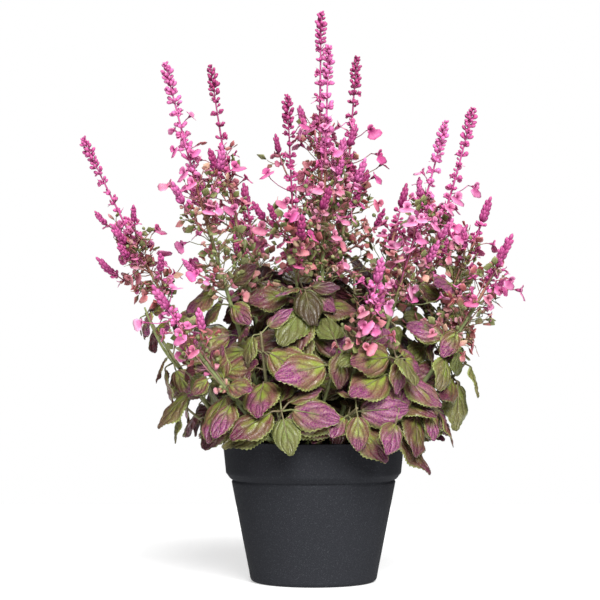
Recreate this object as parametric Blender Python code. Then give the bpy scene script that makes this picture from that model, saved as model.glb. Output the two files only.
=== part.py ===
"""Potted woodland sage: a tapered plastic pot, its soil, leafy stems and flowering stems. Metres, +Z up.

The origin is the middle of the pot's flat underside, and -Y is the side that is looked at from the front.
"""

import math
import random
from dataclasses import dataclass, field, replace

import bmesh
import bpy
import numpy as np
from mathutils.bvhtree import BVHTree

# The pot, from its underside up.
POT_HEIGHT = 0.110
POT_RIM_RADIUS = 0.0705
POT_BAND_RADIUS = 0.0678
POT_BAND_Z = 0.0840
POT_SHOULDER_RADIUS = 0.0640
POT_SHOULDER_Z = 0.0802
POT_BODY_RADIUS = 0.0636
POT_BODY_Z = 0.0780
POT_FOOT_RADIUS = 0.0492
POT_FOOT_ROUND = 0.0040
POT_WALL = 0.0022
POT_FLOOR = 0.0026
POT_LIP_ROUND = 0.0008
POT_SIDES = 32

# The soil, which stops short of the rim.
SOIL_TOP_Z = 0.0975
SOIL_CROWN = 0.0030
SOIL_SIDES = 24
SEAT_GAP = 0.0003
HOLE_GAP = 0.0004
ROOT_DEPTH = 0.0220
SOIL_RIM_GAP = 0.00075
CUTTER_TOP = 0.012

# Stems. Sage has square stems, so every stem is a tube of four sides.
FLOWER_STEM_RADIUS = 0.0021
HEAD_BASE_RADIUS = 0.0013
HEAD_TIP_RADIUS = 0.0008
TRUNK_RADIUS = 0.0023
SHOOT_RADIUS = 0.0015
SHOOT_TIP_RADIUS = 0.0009
STEM_STEP = 0.048
SHOOT_STEP = 0.030
ROOT_SHARE = 0.22
# How high above the soil a leafy stem forks.
FORKS = (0.021, 0.029)

# The room that a part keeps to its neighbours, and how far from its own stem's line, or along its
# own length, the part that is tested for room begins.
TEST_SWELL = 0.0003
SPROUT_CLEAR = 0.0011
HEAD_CLEAR = 0.0010
FORK_CLEAR = 0.0035
BRANCH_CLEAR = 0.0040
TRIAL_ROOT = 0.0006
WHORL_ROOM = (0.0068, 0.0068, 0.0068, 0.0060, 0.0015)

# The parts of a flower head.
SPIKE_LENGTH = 0.021
SPIKE_RADIUS = 0.0048
SPIKE_SIDES = 6
SPIKE_FOOT = 0.0004
SPIKE_DIP = 0.48
BUD_LENGTH = 0.0064
BUD_RADIUS = 0.0015
CALYX_LENGTH = 0.0090
CALYX_RADIUS = 0.0019
# How far below the foot of the head the green stem's nodes with calyces are.
CALYX_NODES = (0.030, 0.012)
BRANCH_RADIUS = 0.0009
STALK_LENGTH = 0.0115
MOUTH_WIDTH = 0.0011
PETAL_LENGTH = 0.0090
PETAL_WIDTH = 0.0105
PETAL_THICKNESS = 0.0007
LIP_DROP = 0.35
LIP_CUP = 0.24
# The hood, against the lip, and how steeply it stands up from the stalk.
HOOD_LENGTH = 0.66
HOOD_WIDTH = 0.70
HOOD_RISE = 0.80
HOOD_CUP = -0.20
# The height of the band of a stem's side that a part sprouts from.
SOCKET = 0.0016

# Leaves.
LEAF_LENGTH = 0.042
LEAF_WIDTH = 0.031
LEAF_THICKNESS = 0.0008
PETIOLE_LENGTH = 0.009
PETIOLE_WIDTH = 0.0015
LEAF_DROOP = 38.0
LEAF_DOME = 38.0
LEAF_LOW = 0.115
LEAF_HIGH = 0.235
# A leaf's edge: how far along the blade each tooth and notch is, and how far out of an even curve.
LEAF_EDGE = ((0.20, 1.06), (0.35, 0.94), (0.57, 1.11), (0.72, 0.88))
LEAF_RIB = (0.30, 0.62)
# The blade's outline is u to one power times (1 - u) to the other, over the most that this comes to.
LEAF_POWERS = (0.55, 0.85)
LEAF_PEAK = 0.3914
# Pairs of leaves down a stem: how far below its tip they grow, and their size.
MAIN_PAIRS = ((0.0018, 0.62), (0.0165, 0.96), (0.0400, 1.0))
SIDE_PAIRS = ((0.0018, 0.70), (0.0180, 1.0))


@dataclass(frozen=True)
class HeadPlan:
    """A flower head: how far down from its tip each part is, and which sockets carry what.

    Each branch is the number of its socket and its own length.
    """

    length: float
    dense: float
    rows: int
    spike_radius: float
    whorls: tuple
    sockets: tuple
    flowers: tuple
    branches: tuple


TALL = HeadPlan(
    length=0.148,
    dense=0.027,
    rows=7,
    spike_radius=0.0045,
    whorls=(0.036, 0.048, 0.062, 0.078),
    sockets=(0.094, 0.112, 0.134),
    flowers=(0, 0, 1, 2),
    branches=((1, 0.050), (2, 0.058)),
)
SHORT = HeadPlan(
    length=0.072,
    dense=0.023,
    rows=6,
    spike_radius=0.0052,
    whorls=(0.031,),
    sockets=(0.046, 0.062),
    flowers=(0, 1),
    branches=((1, 0.036),),
)


@dataclass(frozen=True)
class FlowerStem:
    """One flowering stem: where its tip stands and how straight it is."""

    name: str
    tip: tuple
    plan: HeadPlan = TALL
    straight: float = 0.5
    root: tuple = ()


@dataclass(frozen=True)
class LeafyStem:
    """One leafy stem: its root, the tips of its main, lower and upper shoot, and their leaves' sizes."""

    name: str
    root: tuple
    main: tuple
    lower: tuple
    upper: tuple
    sizes: tuple = (1.0, 1.0, 1.0)


FLOWER_STEMS = (
    FlowerStem("a", (-0.178, -0.010, 0.343)),
    FlowerStem("b", (-0.112, -0.060, 0.396)),
    FlowerStem("c", (-0.082, 0.050, 0.405), straight=0.75),
    FlowerStem("d", (-0.020, -0.070, 0.371), straight=0.6),
    FlowerStem("e", (0.006, 0.015, 0.443)),
    FlowerStem("f", (0.011, -0.035, 0.412)),
    FlowerStem("g", (0.035, 0.065, 0.413), straight=0.4),
    FlowerStem("h", (0.100, -0.045, 0.353)),
    FlowerStem("i", (0.127, 0.045, 0.370), straight=0.8),
    FlowerStem("j", (0.139, 0.012, 0.300), SHORT, 0.8, (0.034, 0.001)),
    FlowerStem("k", (0.152, -0.030, 0.269), SHORT, 0.8, (0.036, -0.010)),
    FlowerStem("l", (-0.120, -0.095, 0.230), SHORT, root=(-0.020, -0.050)),
    FlowerStem("m", (0.050, -0.110, 0.251), SHORT),
    FlowerStem("n", (-0.057, 0.105, 0.315), SHORT),
    FlowerStem("o", (0.077, 0.100, 0.315), SHORT, root=(0.012, 0.044)),
)

LEAFY_STEMS = (
    LeafyStem(
        name="front_left",
        root=(-0.028, -0.040),
        main=(-0.040, -0.062, 0.194),
        lower=(-0.024, -0.084, 0.136),
        upper=(-0.074, -0.052, 0.160),
    ),
    LeafyStem(
        name="front",
        root=(0.004, -0.048),
        main=(-0.008, -0.044, 0.226),
        lower=(0.032, -0.088, 0.138),
        upper=(0.018, -0.074, 0.184),
    ),
    LeafyStem(
        name="front_right",
        root=(0.036, -0.036),
        main=(0.062, -0.064, 0.176),
        lower=(0.062, -0.078, 0.130),
        upper=(0.090, -0.044, 0.138),
    ),
    LeafyStem(
        name="right",
        root=(0.048, 0.016),
        main=(0.098, 0.024, 0.210),
        lower=(0.090, 0.046, 0.140),
        upper=(0.118, -0.004, 0.170),
    ),
    LeafyStem(
        name="back_right",
        root=(0.034, 0.036),
        main=(0.032, 0.026, 0.238),
        lower=(0.056, 0.088, 0.138),
        upper=(0.068, 0.074, 0.188),
    ),
    LeafyStem(
        name="back",
        root=(-0.006, 0.050),
        main=(0.004, 0.052, 0.262),
        lower=(-0.030, 0.094, 0.138),
        upper=(0.004, 0.094, 0.180),
    ),
    LeafyStem(
        name="back_left",
        root=(-0.036, 0.034),
        main=(-0.048, 0.032, 0.222),
        lower=(-0.088, 0.050, 0.140),
        upper=(-0.070, 0.074, 0.184),
    ),
    LeafyStem(
        name="left",
        root=(-0.048, -0.006),
        main=(-0.130, -0.004, 0.208),
        lower=(-0.100, -0.026, 0.138),
        upper=(-0.094, -0.050, 0.162),
        sizes=(0.60, 0.85, 0.85),
    ),
)

UP = np.array((0.0, 0.0, 1.0))


def unit(vector):
    """The vector at length one."""
    return vector / np.linalg.norm(vector)


def on_plane(vector, normal):
    """The vector's part that lies square to the normal, at length one."""
    return unit(vector - normal * np.dot(vector, normal))


class Path:
    """A stem's line, a quadratic Bezier curve that is read by the distance from its root."""

    def __init__(self, root, control, tip, samples=48):
        t = np.linspace(0.0, 1.0, samples)[:, None]
        root, control, tip = (np.array(p, float) for p in (root, control, tip))
        self.points = (1 - t) ** 2 * root + 2 * t * (1 - t) * control + t**2 * tip
        steps = np.linalg.norm(np.diff(self.points, axis=0), axis=1)
        self.distance = np.concatenate(([0.0], np.cumsum(steps)))
        self.length = float(self.distance[-1])
        plane = np.cross(control - root, tip - control)
        if np.linalg.norm(plane) < 1e-9:
            plane = np.cross(tip - root, (0.3, 0.9, 0.1))
        self.binormal = unit(plane)

    def at(self, distance):
        """The point this far from the root. Past an end the line goes straight on."""
        inside = min(max(distance, 0.0), self.length)
        point = np.array([np.interp(inside, self.distance, self.points[:, i]) for i in range(3)])
        return point + (distance - inside) * self.tangent(inside)

    def tangent(self, distance):
        """The direction of growth this far from the root."""
        index = int(np.searchsorted(self.distance, distance))
        index = min(max(index, 1), len(self.distance) - 1)
        return unit(self.points[index] - self.points[index - 1])

    def radial(self, distance, degrees):
        """The direction square to the line at this angle round it, counted from the curve's own plane."""
        second = np.cross(self.tangent(distance), self.binormal)
        angle = math.radians(degrees)
        return self.binormal * math.cos(angle) + second * math.sin(angle)

    def bearing(self, distance, direction):
        """The angle round the line at which a direction lies."""
        second = np.cross(self.tangent(distance), self.binormal)
        return math.degrees(math.atan2(np.dot(direction, second), np.dot(direction, self.binormal)))


def flower_path(stem):
    """The line of a flowering stem, from the soil to its tip."""
    tip = np.array(stem.tip)
    root = np.array((*(stem.root or tip[:2] * ROOT_SHARE), SOIL_TOP_Z))
    lean = 0.56 + 0.28 * (stem.straight - 0.5)
    return Path(root, root + (tip - root) * np.array((lean, lean, 0.46)), tip)


def main_path(stem):
    """The line of a leafy stem's main shoot, from the soil to its tip."""
    root, tip = np.array((*stem.root, SOIL_TOP_Z)), np.array(stem.main)
    return Path(root, root + (tip - root) * np.array((0.55, 0.55, 0.42)), tip)


def taper(first, last, length):
    """A radius that falls evenly from the first to the last over a length."""
    return lambda distance: first + (last - first) * min(max(distance / length, 0.0), 1.0)


class Body:
    """One closed body while it grows. Its rings run anticlockwise about their axis."""

    def __init__(self):
        self.mesh = bmesh.new()

    def add(self, points):
        """Adds points and returns them."""
        return [self.mesh.verts.new(point) for point in points]

    def face(self, *corners):
        """Adds a face, whose corners run anticlockwise as seen from outside."""
        self.mesh.faces.new(corners)

    def middle(self, ring):
        """The middle of a ring."""
        return np.mean([point.co for point in ring], axis=0)

    def across(self, ring, axis):
        """The direction from the ring's middle to its first point, square to the axis."""
        return on_plane(np.array(ring[0].co) - self.middle(ring), axis)

    def ring(self, centre, axis, radius, sides, across):
        """A ring whose first point lies in the direction across."""
        other = np.cross(axis, across)
        angles = [math.tau * side / sides for side in range(sides)]
        return self.add(centre + radius * (math.cos(a) * across + math.sin(a) * other) for a in angles)

    def band(self, lower, upper, axis):
        """Joins two rings. Rings of unlike counts are joined by triangles, in turn by their angle."""
        count, total = len(lower), len(upper)
        if count == total:
            for i in range(count):
                j = (i + 1) % count
                self.face(lower[i], lower[j], upper[j], upper[i])
            return
        first = self.across(lower, axis)
        second = np.cross(axis, first)
        middle = self.middle(upper)
        spokes = [np.array(point.co) - middle for point in upper]
        turns = [math.atan2(np.dot(spoke, second), np.dot(spoke, first)) for spoke in spokes]
        start = min(range(total), key=lambda k: abs(turns[k]))
        upper = upper[start:] + upper[:start]
        below = [math.tau * i / count for i in range(count + 1)]
        above = [turns[start] + math.tau * j / total for j in range(total + 1)]
        i = j = 0
        while i < count or j < total:
            if j == total or (i < count and below[i] + below[i + 1] <= above[j] + above[j + 1]):
                self.face(lower[i], lower[(i + 1) % count], upper[j % total])
                i += 1
            else:
                self.face(lower[i % count], upper[(j + 1) % total], upper[j])
                j += 1

    def close(self, ring, apex):
        """Closes a ring to a point."""
        top = self.add([apex])[0]
        for a, b in zip(ring, ring[1:] + ring[:1]):
            self.face(a, b, top)

    def plate(self, foot, top, under, triangles, rim):
        """A thin solid between two like sheets, grown from the four points of its foot.

        The foot is left and right of the upper sheet, then of the lower one. A sheet's outline is its
        first rim points, and runs from the left of the foot round to its right.
        """
        sheets = []
        for left, right, points in ((foot[0], foot[1], top), (foot[2], foot[3], under)):
            added = self.add(points)
            sheets.append([left, *added[: rim - 2], right, *added[rim - 2 :]])
        for triangle in triangles:
            self.face(*(sheets[0][i] for i in triangle))
            self.face(*(sheets[1][i] for i in triangle[::-1]))
        for i in range(rim - 1):
            self.face(sheets[0][i + 1], sheets[0][i], sheets[1][i], sheets[1][i + 1])

    def spike(self, ring, path, start, end, radius, rows):
        """A dense spike of buds: a cone that is raised into a bud at every other corner, row after row."""
        sides, length = SPIKE_SIDES, end - start
        for row in range(rows):
            share = row / rows
            width = radius * (0.62 + 0.38 * math.sin(math.pi * min(1.0, 1.6 * share + 0.2)))
            width *= 1.0 - 0.55 * share**2
            corners = []
            for side in range(sides):
                raised = (row + side) % 2 == 0
                stop = start + (share + (0.45 / rows if raised else 0.0)) * length
                out = path.radial(stop, 360.0 * side / sides)
                corners.append(path.at(stop) + out * width * (1.0 if raised else SPIKE_DIP))
            above = self.add(corners)
            if row == 0:
                self.band(ring, above, path.tangent(start))
            for side in range(sides if row else 0):
                a, b = ring[side], ring[(side + 1) % sides]
                c, d = above[(side + 1) % sides], above[side]
                raised = (row - 1 + side) % 2 == 0
                for corners in ((a, b, d), (b, c, d)) if raised else ((a, b, c), (a, c, d)):
                    self.face(*corners)
            ring = above
        self.close(ring, path.at(end))

    def obstacle(self, swell=0.0):
        """What others must keep clear of: the body's lowest and highest corner and its faces."""
        self.mesh.normal_update()
        for point in self.mesh.verts:
            point.co += point.normal * swell
        points = np.array([point.co for point in self.mesh.verts])
        tree = BVHTree.FromBMesh(self.mesh)
        self.mesh.free()
        return points.min(0), points.max(0), tree

    def to_object(self, name, finish=None):
        """Puts the body in the scene."""
        mesh = bpy.data.meshes.new(name)
        self.mesh.to_mesh(mesh)
        self.mesh.free()
        if finish:
            mesh.materials.append(finish)
        made = bpy.data.objects.new(name, mesh)
        bpy.context.scene.collection.objects.link(made)
        return made


@dataclass
class Sprout:
    """What grows from a socket: the point of the stem's line behind it and the direction it leaves in."""

    foot: np.ndarray
    lead: np.ndarray
    facing: np.ndarray

    def trial(self, clear):
        """The sprout alone, a little swollen, from a root that is this far clear of its stem's line."""
        body = Body()
        side = np.cross(self.facing, self.lead)
        centre = self.foot + self.lead * clear
        corners = ((-1, -1), (1, -1), (1, 1), (-1, 1))
        quad = body.add(centre + TRIAL_ROOT * (x * side + y * self.facing) for x, y in corners)
        body.face(*quad[::-1])
        self.grow(body, quad)
        return body.obstacle(TEST_SWELL)


@dataclass
class Bud(Sprout):
    """A club-shaped bud, or a calyx."""

    length: float
    radius: float

    def grow(self, body, quad):
        """Grows the bud from the four corners of its socket."""
        across = body.across(quad, self.lead)
        ring = body.ring(self.foot + 0.68 * self.length * self.lead, self.lead, self.radius, 3, across)
        body.band(quad, ring, self.lead)
        body.close(ring, self.foot + self.length * self.lead)


@dataclass
class Flower(Sprout):
    """An open flower: a stalk that widens to the mouth, the broad lower lip and the hood."""

    size: float

    def petal(self, body, foot, along, normal, length, width, cup):
        """A fan-shaped petal that is cupped towards its normal."""
        side = np.cross(normal, along)
        outline = ((-0.50, 0.50), (-0.32, 0.98), (0.32, 0.98), (0.50, 0.50))
        base = body.middle(foot)
        top = [
            base + side * x * width + along * y * length + normal * (cup * (2 * x) ** 2 * width)
            for x, y in outline
        ]
        under = [point - normal * PETAL_THICKNESS for point in top]
        body.plate(foot, top, under, [(4, 5, 0), (0, 1, 4), (1, 3, 4), (1, 2, 3)], 6)

    def grow(self, body, quad):
        """Grows the flower from the four corners of its socket."""
        mouth = self.foot + self.lead * STALK_LENGTH * self.size
        side = np.cross(self.facing, self.lead)
        w, h = side * MOUTH_WIDTH, self.facing * 0.8 * MOUTH_WIDTH
        ring = body.add((mouth - w - h, mouth + w - h, mouth + w, mouth + w + h, mouth - w + h, mouth - w))
        body.band(quad, ring, self.lead)
        low_left, low_right, right, high_right, high_left, left = ring
        length, width = PETAL_LENGTH * self.size, PETAL_WIDTH * self.size
        along = unit(self.lead - LIP_DROP * self.facing)
        normal = on_plane(self.facing, along)
        self.petal(body, (left, right, low_left, low_right), along, normal, length, width, LIP_CUP)
        length, width = HOOD_LENGTH * length, HOOD_WIDTH * width
        along = unit(self.lead + HOOD_RISE * self.facing)
        normal = on_plane(self.facing, along)
        self.petal(body, (high_left, high_right, left, right), along, normal, length, width, HOOD_CUP)


def leaf_triangles(rim):
    """How a leaf's points are joined: its outline, the rim points, goes round it, and the rib's follow."""
    shares = [0.0, *(u for u, _ in LEAF_EDGE), 1.0]
    ribs = [rim + i for i in range(len(LEAF_RIB))]
    tip = len(LEAF_EDGE) + 2
    faces = [(0, 1, rim - 1), (1, rim - 2, rim - 1), (1, ribs[0], rim - 2)]
    rib_shares, rib_points = [*LEAF_RIB, 1.0], [*ribs, tip]
    for mirror in (False, True):
        outer = [rim - 2 - i if mirror else 1 + i for i in range(len(LEAF_EDGE) + 1)] + [tip]
        fans, at_rib = [], 0
        for i in range(len(LEAF_EDGE) + 1):
            while at_rib < len(LEAF_RIB) and rib_shares[at_rib] < shares[i]:
                fans.append((outer[i], rib_points[at_rib + 1], rib_points[at_rib]))
                at_rib += 1
            if rib_points[at_rib] != outer[i + 1]:
                fans.append((outer[i], outer[i + 1], rib_points[at_rib]))
        while at_rib < len(LEAF_RIB):
            fans.append((outer[-2], rib_points[at_rib + 1], rib_points[at_rib]))
            at_rib += 1
        faces += [fan[::-1] if mirror else fan for fan in fans]
    return faces


@dataclass
class Leaf(Sprout):
    """One leaf: its blade's base, the way it points and faces, its size and how far it arches over."""

    base: np.ndarray
    along: np.ndarray
    normal: np.ndarray
    size: float
    droop: float

    def half_width(self, u):
        """Half the blade's width this far along it: an egg shape with a drawn-out tip."""
        rise, fall = LEAF_POWERS
        return 0.5 * LEAF_WIDTH * self.size * u**rise * (1 - u) ** fall / LEAF_PEAK

    def points(self, u, across, drop):
        """Points of the blade: u along it, across in metres from the rib, drop below the upper face."""
        u, across = np.asarray(u, float)[:, None], np.asarray(across, float)[:, None]
        bend = math.radians(self.droop) * u + 1e-6
        reach = LEAF_LENGTH * self.size * u / bend
        curl = math.radians(LEAF_DOME) / (0.5 * LEAF_WIDTH * self.size)
        facing = self.normal * np.cos(bend) + self.along * np.sin(bend)
        rib = self.base + self.along * reach * np.sin(bend) - self.normal * reach * (1 - np.cos(bend))
        side = np.cross(self.normal, self.along) * np.sin(across * curl) / curl
        return rib + side - facing * ((1 - np.cos(across * curl)) / curl + drop)

    def grow(self, body, quad):
        """Grows the leaf from the four corners of its socket."""
        widths = [(0.0, 0.5 * PETIOLE_WIDTH), *((u, self.half_width(u) * out) for u, out in LEAF_EDGE)]
        outline = [(u, -w) for u, w in widths] + [(1.0, 0.0)] + [(u, w) for u, w in widths[::-1]]
        outline += [(u, 0.0) for u in LEAF_RIB]
        rim = 2 * len(widths) + 3
        top, under = (self.points(*zip(*outline), drop) for drop in (0.0, LEAF_THICKNESS))
        foot = (quad[3], quad[2], quad[0], quad[1])
        body.plate(foot, top, under, leaf_triangles(rim), rim)


@dataclass
class Limb:
    """A four-sided stem about a line, with sockets in its sides from which other parts sprout."""

    path: Path
    start: float
    end: float
    radius: object
    sockets: tuple = ()
    degrees: float = 0.0
    step: float = STEM_STEP
    spike: tuple = ()
    sprouts: dict = field(default_factory=dict)

    def stops(self):
        """How far from the root each ring is, and the number of the socket that starts there, if any."""
        marks = [(self.start, None)]
        for number, centre in enumerate(self.sockets):
            marks += [(centre - 0.5 * SOCKET, number), (centre + 0.5 * SOCKET, None)]
        marks.append((self.end, None))
        stops = []
        for (low, number), (high, _) in zip(marks, marks[1:]):
            count = max(1, round((high - low) / self.step))
            stops += [(low + (high - low) * i / count, None if i else number) for i in range(count)]
        return stops + marks[-1:]

    def foot(self, number):
        """The point of the line behind a socket."""
        return self.path.at(self.sockets[number])

    def up(self, number):
        """The direction of growth at a socket."""
        return self.path.tangent(self.sockets[number])

    def out(self, number, side, turn=0.0):
        """The direction in which a side of the stem faces at a socket, turned about the stem."""
        return self.path.radial(self.sockets[number], self.degrees + 45.0 + 90.0 * side + turn)

    def clearance(self, number):
        """How far from the line a sprout at this socket is clear of the stem."""
        return self.radius(self.sockets[number]) + SPROUT_CLEAR

    def corners(self, number, side):
        """The corners of a socket: low left, low right, high right, high left, as seen from outside."""
        path, corners = self.path, []
        for right, high in ((0, -0.5), (1, -0.5), (1, 0.5), (0, 0.5)):
            stop = self.sockets[number] + high * SOCKET
            out = path.radial(stop, self.degrees + 90.0 * (side + right))
            corners.append(path.at(stop) + self.radius(stop) * out)
        return corners

    def child(self, number, side, tip, elbow, **parts):
        """A stem that sprouts from a socket and ends at the tip, by way of the elbow."""
        corners = self.corners(number, side)
        root = np.mean(corners, axis=0)
        line = Path(root, elbow, tip)
        return Limb(line, 0.0, line.length, degrees=line.bearing(0.0, corners[0] - root), **parts)

    def grow(self, body, quad=None):
        """Grows the stem with its sprouts, from a flat foot or from the four corners of a socket."""
        path, stops = self.path, self.stops()
        rings = [list(quad)] if quad else []
        for stop, _ in stops[len(rings) :]:
            across = path.radial(stop, self.degrees)
            rings.append(body.ring(path.at(stop), path.tangent(stop), self.radius(stop), 4, across))
        if not quad:
            body.face(*rings[0][::-1])
        for (lower, upper), (_, number) in zip(zip(rings, rings[1:]), stops):
            for side in range(4):
                after = (side + 1) % 4
                corners = (lower[side], lower[after], upper[after], upper[side])
                sprout = self.sprouts.get((number, side))
                if sprout:
                    sprout.grow(body, corners)
                else:
                    body.face(*corners)
        if self.spike:
            length, radius, rows = self.spike
            body.spike(rings[-1], path, self.end + SPIKE_FOOT, self.end + length, radius, rows)
        else:
            body.face(*rings[-1])

    def body(self):
        """The whole stem, from a flat foot."""
        body = Body()
        self.grow(body)
        return body

    def bore(self, distance):
        """The radius of the hole that the stem stands in."""
        return self.radius(min(distance, 0.0)) + HOLE_GAP

    def trial(self, start):
        """The bare stem from this far up, a little swollen."""
        return replace(self, start=start, sockets=(), sprouts={}).body().obstacle(TEST_SWELL)


class Space:
    """What has been placed, so that what comes next can grow clear of it."""

    def __init__(self):
        self.placed = []

    def add(self, obstacle):
        """Notes an obstacle."""
        self.placed.append(obstacle)

    def clear(self, obstacle):
        """True if it touches nothing that was placed."""
        low, high, tree = obstacle
        for other_low, other_high, other in self.placed:
            if (low <= other_high).all() and (high >= other_low).all() and tree.overlap(other):
                return False
        return True


def leaf_choices(limb, key, number, side, size):
    """The leaves that one side of a socket may carry, best first."""
    draw = random.Random(f"{key} {number} {side}")
    jitter = np.array([draw.uniform(-1.0, 1.0) for _ in range(3)])
    swing, lengthen, bow = (draw.uniform(-1.0, 1.0) for _ in range(3))
    foot = limb.foot(number)
    outward = unit(np.array((foot[0], foot[1], 0.004)))
    height = min(max((foot[2] - LEAF_LOW) / (LEAF_HIGH - LEAF_LOW), 0.0), 1.0)
    facing = 0.50 + 0.30 * math.sin(math.pi * height)
    for shrink in (1.0, 0.86, 0.72):
        for turn in (0, 20, -20, 40, -40, 60, -60):
            for lift in (0.0, 22.0, -22.0, 44.0):
                out = limb.out(number, side, 12.0 * swing + turn)
                normal = unit(outward * facing + UP * (1.15 - facing) + 0.24 * jitter)
                along = on_plane(out - 0.20 * UP + 1e-3 * outward, normal)
                tilt = math.radians(lift - 8.0)
                along, normal = (
                    along * math.cos(tilt) + normal * math.sin(tilt),
                    normal * math.cos(tilt) - along * math.sin(tilt),
                )
                lead = unit(0.6 * out + 0.5 * along + 0.25 * normal + 0.15 * UP)
                base = foot + PETIOLE_LENGTH * (0.55 + 0.45 * size) * lead
                scale = size * shrink * (1.0 + 0.08 * lengthen)
                facing_up = on_plane(normal, lead)
                droop = LEAF_DROOP * (1.0 + 0.4 * bow)
                yield Leaf(foot, lead, facing_up, base, along, normal, scale, droop)


def flower_choices(limb, key, number, sides):
    """The flowers that one of these sides of a socket may carry, best first, each with its side."""
    draw = random.Random(f"flower {key} {number}")
    size, rise = draw.uniform(0.88, 1.1), draw.uniform(0.35, 0.8)
    up = limb.up(number)
    for turn in (0, 25, -25, 50, -50):
        for side in sides:
            lead = unit(limb.out(number, side, turn) + rise * up)
            yield side, Flower(limb.foot(number), lead, on_plane(up, lead), size)


def branch_choices(limb, number, sides, reach):
    """The side branches that one of these sides of a socket may carry, best first, each with its side."""
    foot, up = limb.foot(number), limb.up(number)
    radius = taper(BRANCH_RADIUS, 0.8 * BRANCH_RADIUS, reach)
    spike = (SPIKE_LENGTH, SPIKE_RADIUS, 4)
    for turn in (0, 30, -30, 55, -55):
        for side in sides:
            out = limb.out(number, side, turn)
            tip = foot + reach * unit(0.80 * up + 0.60 * out) + 0.06 * reach * UP
            elbow = foot + reach * (0.42 * out + 0.26 * up)
            branch = limb.child(number, side, tip, elbow, radius=radius, step=SHOOT_STEP, spike=spike)
            branch.end -= SPIKE_LENGTH
            yield side, branch


def calyx_choices(limb, key, number, side):
    """The calyces that one side of a socket may carry, best first."""
    draw = random.Random(f"calyx {key} {number} {side}")
    rise, size = draw.uniform(0.3, 0.9), draw.uniform(0.85, 1.15)
    up = limb.up(number)
    for turn in (0, 30, -30):
        lead = unit(limb.out(number, side, turn) + rise * up)
        yield Bud(limb.foot(number), lead, on_plane(up, lead), CALYX_LENGTH * size, CALYX_RADIUS * size)


class FlowerHead:
    """A flowering stem: the green stem with its calyces, and the head above it."""

    def __init__(self, stem):
        self.stem, plan = stem, stem.plan
        path = flower_path(stem)
        cut = path.length - plan.length
        turn = random.Random(f"head {stem.name}").uniform(0.0, 90.0)
        lower = taper(FLOWER_STEM_RADIUS, HEAD_BASE_RADIUS, cut)
        upper = taper(HEAD_BASE_RADIUS, HEAD_TIP_RADIUS, plan.length)
        nodes = tuple(cut - below for below in CALYX_NODES)
        self.stalk = Limb(path, -ROOT_DEPTH, cut - SEAT_GAP, lower, nodes, degrees=turn)
        sockets = tuple(path.length - below for below in (*plan.sockets[::-1], *plan.whorls[::-1]))
        self.head = Limb(
            path,
            cut,
            path.length - plan.dense,
            lambda distance: upper(distance - cut),
            sockets,
            degrees=turn,
            spike=(plan.dense, plan.spike_radius, plan.rows),
        )
        for whorl in range(len(plan.whorls)):
            number = len(plan.sockets) + whorl
            up = self.head.up(number)
            length = BUD_LENGTH * (1.1 - 0.05 * whorl)
            for side in range(4):
                out = self.head.out(number, side, 45.0 * (whorl % 2))
                lead = unit(out + (0.8 - 0.35 * (side % 2)) * up)
                bud = Bud(self.head.foot(number), lead, on_plane(up, lead), length, BUD_RADIUS)
                self.head.sprouts[(number, side)] = bud

    def socket(self, index):
        """The number that the head's limb gives to the plan's socket."""
        return len(self.stem.plan.sockets) - 1 - index

    def whorl_room(self):
        """The room that the whorls of buds and the dense tip take up."""
        path = self.head.path
        foot = path.length - self.stem.plan.whorls[-1] - 2.0 * SOCKET
        body, rings = Body(), []
        for stop, radius in zip(np.linspace(foot, path.length, len(WHORL_ROOM)), WHORL_ROOM):
            rings.append(body.ring(path.at(stop), path.tangent(stop), radius, 6, path.binormal))
        body.face(*rings[0][::-1])
        for lower, upper in zip(rings, rings[1:]):
            body.band(lower, upper, path.binormal)
        body.face(*rings[-1])
        return body.obstacle()


class LeafyShoots:
    """A leafy stem: its main shoot and the side shoots that fork from it near the soil."""

    def __init__(self, stem):
        path = main_path(stem)
        turn = random.Random(f"shoot {stem.name}").uniform(0.0, 90.0)
        radius = taper(TRUNK_RADIUS, SHOOT_TIP_RADIUS, path.length)
        sockets = (*FORKS, *(path.length - below for below, _ in MAIN_PAIRS[::-1]))
        self.name = stem.name
        self.main = Limb(path, -ROOT_DEPTH, path.length, radius, sockets, turn, SHOOT_STEP)
        self.shoots = [(self.main, MAIN_PAIRS, len(FORKS), stem.sizes[0])]
        for number, side_tip in enumerate((stem.lower, stem.upper)):
            shoot = self.fork(number, np.array(side_tip))
            self.shoots.append((shoot, SIDE_PAIRS, 0, stem.sizes[1 + number]))

    def fork(self, number, tip):
        """A side shoot from the side of the main one that faces its tip."""
        foot = self.main.foot(number)
        side = max(range(4), key=lambda k: np.dot(self.main.out(number, k), tip - foot))
        elbow = foot + (tip - foot) * np.array((0.62, 0.62, 0.40))
        reach = float(np.linalg.norm(tip - foot))
        radius = taper(SHOOT_RADIUS, SHOOT_TIP_RADIUS, reach)
        shoot = self.main.child(number, side, tip, elbow, radius=radius, step=SHOOT_STEP)
        shoot.sockets = tuple(shoot.end - below for below, _ in SIDE_PAIRS[::-1])
        self.main.sprouts[(number, side)] = shoot
        return shoot


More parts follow.
